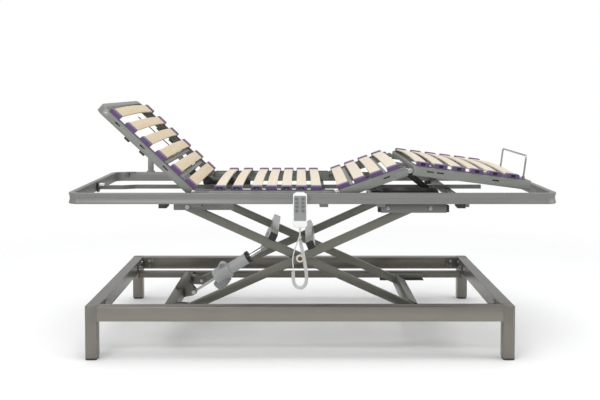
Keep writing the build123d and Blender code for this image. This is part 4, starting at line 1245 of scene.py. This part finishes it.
@dataclass
class CurlyCord:
    """The handset's cord: a thin lead, a curled stretch and a lead to its socket."""

    route: tuple[tuple[float, float, float], ...] = (
        (0, -465, 518), (0, -465, 501), (-15, -464, 463), (-27, -463, 428), (-31, -462, 397),
        (-28, -461, 371), (-28.5, -460, 343), (-28, -458.5, 317), (-23, -457, 295), (-9, -454, 281),
        (11, -452, 281), (25, -449, 296), (28, -447, 324), (24, -445, 358), (18, -443.5, 394),
        (11, -442, 430), (3, -441, 463), (0, -440, 500), (1, -439.5, 540), (3.5, -439, 574),
        (3.5, -439, 600),
    )
    curl_from: int = 5
    curl_to: int = 16
    diameter: float = 5 * MM
    curl_diameter: float = 16 * MM
    pitch: float = 5.7 * MM
    per_turn: int = 14
    length: float = 2.08

    def _points(self) -> list[Vector]:
        """The route's control points in metres."""
        return [Vector((x * MM + SHIFT_X, y * MM, z * MM)) for x, y, z in self.route]

    @staticmethod
    def _spline(name: str, points: Sequence[Vector]) -> bpy.types.Curve:
        """A smooth open spline with those control points."""
        curve = bpy.data.curves.new(name, "CURVE")
        curve.dimensions = "3D"
        spline = curve.splines.new("NURBS")
        spline.points.add(len(points) - 1)
        for target, point in zip(spline.points, points):
            target.co = (*point, 1.0)
        spline.order_u = 3
        spline.use_endpoint_u = True
        return curve

    def _line(self, points: Sequence[Vector]) -> list[Vector]:
        """Points read off the smooth route."""
        curve = self._spline("route", points)
        curve.splines[0].resolution_u = 24
        holder = bpy.data.objects.new("route", curve)
        mesh = bpy.data.meshes.new_from_object(holder)
        line = [v.co.copy() for v in mesh.vertices]
        bpy.data.meshes.remove(mesh)
        bpy.data.objects.remove(holder)
        bpy.data.curves.remove(curve)
        return line

    def _helix(self, line: Sequence[Vector], start: Vector, stop: Vector) -> list[Vector]:
        """The curl's turns about the part of the line between two points on it."""
        first = min(range(len(line)), key=lambda i: (line[i] - start).length)
        last = min(range(len(line)), key=lambda i: (line[i] - stop).length)
        part = list(line[first : last + 1])
        reach = [0.0]
        for a, b in zip(part, part[1:]):
            reach.append(reach[-1] + (b - a).length)
        step = self.pitch / self.per_turn
        count = int(reach[-1] / step)
        radius = (self.curl_diameter - self.diameter) / 2
        side = Vector((0, 1, 0))
        turns: list[Vector] = []
        k = 0
        for i in range(count + 1):
            at = reach[-1] * i / count
            while k < len(reach) - 2 and reach[k + 1] < at:
                k += 1
            share = (at - reach[k]) / max(reach[k + 1] - reach[k], 1e-9)
            centre = part[k].lerp(part[k + 1], share)
            ahead = (part[k + 1] - part[k]).normalized()
            side = (side - ahead * side.dot(ahead)).normalized()
            up = ahead.cross(side)
            ease = min(1.0, min(i, count - i) / (1.5 * self.per_turn))
            a = 2 * math.pi * i / self.per_turn
            grown = radius * ease * ease * (3 - 2 * ease)
            turns.append(centre + side * (grown * math.cos(a)) + up * (grown * math.sin(a)))
        return turns

    def build(self, shop: Workshop) -> None:
        """Make the cord and say what it is.

        Args:
            shop: the shared palette and trees.
        """
        points = self._points()
        start = points[self.curl_from].lerp(points[self.curl_from + 1], 0.5)
        stop = points[self.curl_to].lerp(points[self.curl_to + 1], 0.5)
        curl = self._helix(self._line(points), start, stop)
        whole = points[: self.curl_from + 1] + curl + points[self.curl_to + 1 :]
        curve = self._spline("handset_cord", whole)
        curve.splines[0].resolution_u = 2
        curve.bevel_depth = self.diameter / 2
        curve.bevel_resolution = 3
        curve.use_fill_caps = True
        curve.materials.append(shop.palette["cord sheath"])
        cord = bpy.data.objects.new("handset_cord", curve)
        bpy.context.scene.collection.objects.link(cord)
        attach(cord, "platform")
        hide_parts("cord_leads", "cord_curl")
        long = sum((b - a).length for a, b in zip(whole, whole[1:]))
        LOG.info("handset cord: %d control points, %.3f m along them", len(whole), long)


# ---- small fittings on the platform ----
class PlatformFittings:
    """End blocks, a bracket with its connector, and a strap on the platform."""

    def build(self, shop: Workshop) -> None:
        """Make the fittings.

        Args:
            shop: the shared palette and trees.
        """
        guide_low, guide_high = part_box("platform_roller_guides")
        shape = Shape()
        for side in Side:
            y = side.value * (guide_high.y - 18 * MM)
            for x in (guide_low.x - 5 * MM, guide_high.x + 5 * MM):
                low = (x - 7 * MM, y - 15 * MM, guide_low.z + 2 * MM)
                shape.box(low, (x + 7 * MM, y + 15 * MM, guide_high.z - 6 * MM))
        shop.piece(shape.mesh("guide ends"), "guide_end_blocks", "black plastic", "platform", "black_plastic")
        self._head_bracket(shop)
        self._hook(shop)

    def _head_bracket(self, shop: Workshop) -> None:
        """The black bracket with two holes at the centre rail's head end, and its connector."""
        low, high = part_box("centre_rail")
        y = 5 * MM
        shape = Shape()
        plate = rounded_outline(46 * MM, 40 * MM, 6 * MM, 3)
        face = rounded_outline(44 * MM, 38 * MM, 5 * MM, 3)
        place = axis_place((low.x + 1 * MM, y, low.z + 10 * MM), (1, 0, 0))
        shape.stack([(face, 0), (plate, 1 * MM), (plate, 5 * MM), (face, 6 * MM)], place)
        shop.piece(shape.mesh("bracket"), "centre_rail_bracket", "black plastic", "platform", "black_plastic")
        eyes = Shape()
        for dy in (-11 * MM, 11 * MM):
            spot = axis_place((low.x + 7 * MM, y + dy, low.z + 10 * MM), (1, 0, 0))
            ring = [(circle_outline(6.5 * MM), -0.4 * MM), (circle_outline(6.5 * MM), 1.6 * MM),
                    (circle_outline(4.4 * MM), 1.6 * MM), (circle_outline(4.2 * MM), 0.2 * MM)]
            eyes.stack(ring, spot)
        shop.piece(eyes.mesh("eyes"), "centre_rail_bracket_eyes", "zinc", "platform", "zinc")
        start = (low.x + 9 * MM, y - 14 * MM, low.z + 17 * MM)
        block = Shape().box(start, (low.x + 34 * MM, y + 2 * MM, low.z + 29 * MM))
        shop.piece(block.mesh("connector"), "centre_rail_connector", "pivot white", "platform", "pivot_white")

    def _hook(self, shop: Workshop) -> None:
        """A bent strap in the far head corner."""
        low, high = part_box("platform_rails")
        x, y, z = low.x + 96 * MM, high.y - 26 * MM, high.z
        shape = Shape()
        shape.box((x - 26 * MM, y - 6 * MM, z - 2 * MM), (x + 26 * MM, y + 18 * MM, z + 1.8 * MM), 0.8 * MM)
        shape.box((x - 26 * MM, y - 8 * MM, z - 22 * MM), (x - 8 * MM, y - 5 * MM, z + 1.8 * MM), 0.8 * MM)
        shop.piece(shape.mesh("strap"), "corner_strap", "under frame steel", "platform", "platform_steel")


@dataclass(frozen=True)
class BackTrim:
    """Hooks, a release rod and corner bolts on the back section."""

    hinge: Vector
    angle: float
    rail_top: float
    hooks: tuple[float, ...] = (270 * MM, 355 * MM)
    rail_depth: float = 32 * MM
    rail_face: float = 410 * MM

    @property
    def tilt(self) -> Matrix:
        """The turn from the flat section to the resting one."""
        return about_y(self.hinge.x, self.hinge.z, self.angle)

    def heads(self) -> HeadRow:
        """The bolts at the section's rounded corners.

        Returns:
            A row that rides on the back.
        """
        at = self.tilt @ Vector((self.hinge.x - 492 * MM, 0, self.rail_top - 15 * MM))
        spots = tuple(((at.x, s.value * self.rail_face, at.z), (0.0, float(s.value), 0.0)) for s in Side)
        return HeadRow("back_corner_heads", "back", 6 * MM, spots)

    def build(self, shop: Workshop) -> None:
        """Make the hooks and the rod.

        Args:
            shop: the shared palette and trees.
        """
        low = self.rail_top - self.rail_depth
        hooks = Shape()
        for side in Side:
            y = side.value * (self.rail_face - 8 * MM)
            for along in self.hooks:
                x = self.hinge.x - along
                foot = (x - 15 * MM, y - 7 * MM, low - 9 * MM)
                hooks.box(foot, (x + 13 * MM, y + 7 * MM, low + 0.5 * MM), 2 * MM)
        shop.piece(hooks.mesh("hooks"), "back_rail_hooks", "black plastic", "back", "black_plastic",
                   self.tilt)
        start = (self.hinge.x - 440 * MM, 70 * MM, self.rail_top - 7 * MM)
        ring = circle_outline(2.2 * MM, 12)
        rod = Shape().stack([(ring, 0), (ring, 262 * MM)], axis_place(start, (1, 0, 0)))
        shop.piece(rod.mesh("rod"), "back_release_rod", "black plastic", "back", "black_plastic", self.tilt)


# ---- stage ----
class Studio:
    """The pale floor, the soft lights and the camera."""

    floor_colour = "f7f7f6"

    def build(self) -> None:
        """Make the stage."""
        self._floor()
        self._lights()
        self._camera()

    def _floor(self) -> None:
        """A floor that fades out to the white surroundings."""
        half, faded_from, faded_to = 9.0, 1.3, 3.4
        mesh = bpy.data.meshes.new("floor")
        corners = [(-half, -half, 0), (half, -half, 0), (half, half, 0), (-half, half, 0)]
        mesh.from_pydata(corners, [], [(0, 1, 2, 3)])
        board = NodeBoard("pale floor")
        board.set(Base_Color=linear(self.floor_colour), Roughness=0.75, Specular_IOR_Level=0.2)
        place = board.add("ShaderNodeTexCoord")
        reach = board.add("ShaderNodeVectorMath", operation="LENGTH")
        board.join(place.outputs["Object"], reach.inputs[0])
        fade = board.add("ShaderNodeMapRange", interpolation_type="SMOOTHSTEP")
        for socket, value in zip(fade.inputs[1:5], (faded_from, faded_to, 1.0, 0.0)):
            socket.default_value = value
        board.join(reach.outputs["Value"], fade.inputs[0])
        board.feed("Alpha", fade.outputs[0])
        mesh.materials.append(board.material)
        floor = bpy.data.objects.new("floor", mesh)
        bpy.context.scene.collection.objects.link(floor)

    @staticmethod
    def _area(
        name: str, at: Sequence[float], aim: Sequence[float], size: tuple[float, float], power: float
    ) -> None:
        """A soft rectangular light.

        Args:
            name: its name.
            at: where it is.
            aim: what it points at.
            size: its width and height.
            power: watts.
        """
        data = bpy.data.lights.new(name, "AREA")
        data.shape = "RECTANGLE"
        data.size, data.size_y = size
        data.energy = power
        lamp = bpy.data.objects.new(name, data)
        lamp.location = at
        lamp.rotation_euler = (Vector(aim) - Vector(at)).to_track_quat("-Z", "Y").to_euler()
        bpy.context.scene.collection.objects.link(lamp)

    def _lights(self) -> None:
        """A large overhead box, a front fill and a cool world."""
        self._area("overhead", (-0.3, -0.2, 3.6), (0, 0, 0.3), (4.2, 3.0), 78)
        self._area("front fill", (-2.6, -4.6, 2.6), (0, 0, 0.5), (2.4, 2.0), 60)
        self._area("right edge", (4.2, -1.0, 2.0), (0.4, 0, 0.5), (1.4, 2.2), 35)
        world = bpy.data.worlds.new("studio")
        bpy.context.scene.world = world
        world.use_nodes = True
        tree = world.node_tree
        lit = next(n for n in tree.nodes if n.type == "BACKGROUND")
        out = next(n for n in tree.nodes if n.type == "OUTPUT_WORLD")
        lit.inputs["Color"].default_value = (0.97, 0.98, 1.0, 1)
        lit.inputs["Strength"].default_value = 0.74
        seen = tree.nodes.new("ShaderNodeBackground")
        seen.inputs["Color"].default_value = (1, 1, 1, 1)
        path = tree.nodes.new("ShaderNodeLightPath")
        choice = tree.nodes.new("ShaderNodeMixShader")
        tree.links.new(path.outputs["Is Camera Ray"], choice.inputs[0])
        tree.links.new(lit.outputs[0], choice.inputs[1])
        tree.links.new(seen.outputs[0], choice.inputs[2])
        tree.links.new(choice.outputs[0], out.inputs["Surface"])

    @staticmethod
    def _camera() -> None:
        """A 50 mm lens a little above the platform."""
        data = bpy.data.cameras.new("camera")
        data.lens, data.sensor_width = 50.85, 36.0
        data.shift_y = -0.131
        camera = bpy.data.objects.new("camera", data)
        camera.location = (SHIFT_X, -3.949, 1.1143)
        camera.rotation_euler = (math.radians(90 - 2.3), 0, 0)
        bpy.context.scene.collection.objects.link(camera)
        bpy.context.scene.camera = camera
        bpy.context.scene.view_settings.view_transform = "Standard"


def hinge_spots(frame: dict, name: str, y: float) -> tuple:
    """Both ends of a hinge's pin, facing outwards.

    Args:
        name: the joint.
        y: how far out the pin's heads are.

    Returns:
        Points and directions.
    """
    at = next(j["pos_m"] for j in frame["joints"] if j["name"] == name)
    return tuple(((at[0], s.value * y, at[2]), (0.0, float(s.value), 0.0)) for s in Side)


def sections(frame: dict) -> list[SlattedSection]:
    """The four slatted sections, placed by the part's own hinges.


    Returns:
        The sections from head to foot.
    """
    at = {j["name"]: j.get("pos_m") for j in frame["joints"]}
    back, thigh = at["back_tilt"], at["thigh_tilt"]
    top = back[2] + HINGE_DROP
    knee = (thigh[0] + KNEE_ALONG, top - KNEE_DROP)
    thigh_tilt = about_y(thigh[0], thigh[2], -THIGH_REST)
    leg_tilt = thigh_tilt @ about_y(knee[0], knee[1], THIGH_REST * KNEE_RATIO)
    return [
        SlattedSection(
            # The back's slats take the darker beech, which is painted shade.
            "back", "back", "beech, back end", about_y(back[0], back[2], BACK_REST), top,
            [back[0] - (34 + 86 * i) * MM for i in range(6)], [CapFace.RIBBED] * 6,
            (back[0] - 476 * MM, back[0] - 8 * MM), 400 * MM, 11,
        ),
        SlattedSection(
            "seat", "platform", "beech, seat end", Matrix.Identity(4), top,
            [x * MM + SHIFT_X for x in (-338, -265, -183, -120, -57, 6, 69)],
            [CapFace.OVAL] * 3 + [CapFace.SOLID, CapFace.OVAL, CapFace.OVAL, CapFace.SOLID],
            (back[0] + 14 * MM, thigh[0] - 14 * MM), 401 * MM, 23,
            slat_width=42 * MM, cap_width=47 * MM,
        ),
        SlattedSection(
            "thigh", "thigh", "beech, seat end", thigh_tilt, top,
            [thigh[0] + (33 + 74 * i) * MM for i in range(4)], [CapFace.RIBBED] * 4,
            (thigh[0] + 14 * MM, thigh[0] + 300 * MM), 400 * MM, 37,
        ),
        SlattedSection(
            "leg", "lower_leg", "beech, seat end", leg_tilt, top,
            [knee[0] + (52 + 76 * i) * MM for i in range(6)], [CapFace.SQUARE] * 6,
            (knee[0] + 18 * MM, knee[0] + 486 * MM), 399 * MM, 53,
        ),
    ]


def head_rows(frame: dict) -> list[HeadRow]:
    """The visible bolt heads on each body.


    Returns:
        One row for each size and body.
    """
    guide_low, guide_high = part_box("platform_roller_guides")
    rows = [
        HeadRow("section_hinge_heads", "platform", 8 * MM,
                hinge_spots(frame, "back_tilt", 419.1 * MM) + hinge_spots(frame, "thigh_tilt", 419.1 * MM)),
        HeadRow("knee_heads", "thigh", 8 * MM, hinge_spots(frame, "knee_bend", 418.1 * MM)),
    ]
    z = (guide_low.z + guide_high.z) / 2
    spots = tuple(
        ((x, s.value * (guide_high.y + 4.6 * MM), z), (0.0, float(s.value), 0.0))
        for x in (guide_low.x + 30 * MM, guide_high.x - 70 * MM)
        for s in Side
    )
    rows.append(HeadRow("guide_heads", "platform", 6 * MM, spots))
    return rows


def main() -> None:
    """Build the bed base's looks around the frame."""
    logging.basicConfig(level=logging.INFO, format="%(name)s: %(message)s")
    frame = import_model()
    studio = Studio()
    studio.build()
    shop = Workshop()
    CurlyCord().build(shop)
    dress_carried(frame["nodes"], shop.palette)
    for part in METALWORK:
        part.make(frame["nodes"], shop)
    for section in sections(frame):
        section.build(shop)
    at = {j["name"]: j.get("pos_m") for j in frame["joints"]}
    hinge = Vector(at["back_tilt"])
    trim = BackTrim(hinge, BACK_REST, hinge.z + HINGE_DROP)
    trim.build(shop)
    for row in [*head_rows(frame), trim.heads()]:
        row.build(shop)
    ScissorTrim(crossing_z=at["arm_cross"][2]).build(shop)
    reach = Vector(at["lift_rod_tilt"]) - Vector(at["lift_housing_tilt"])
    ActuatorTrim(rear=Vector(at["lift_housing_tilt"]), angle=math.atan2(reach.z, reach.x)).build(shop)
    Handset().build(shop)
    PlatformFittings().build(shop)


if __name__ == "__main__":
    main()
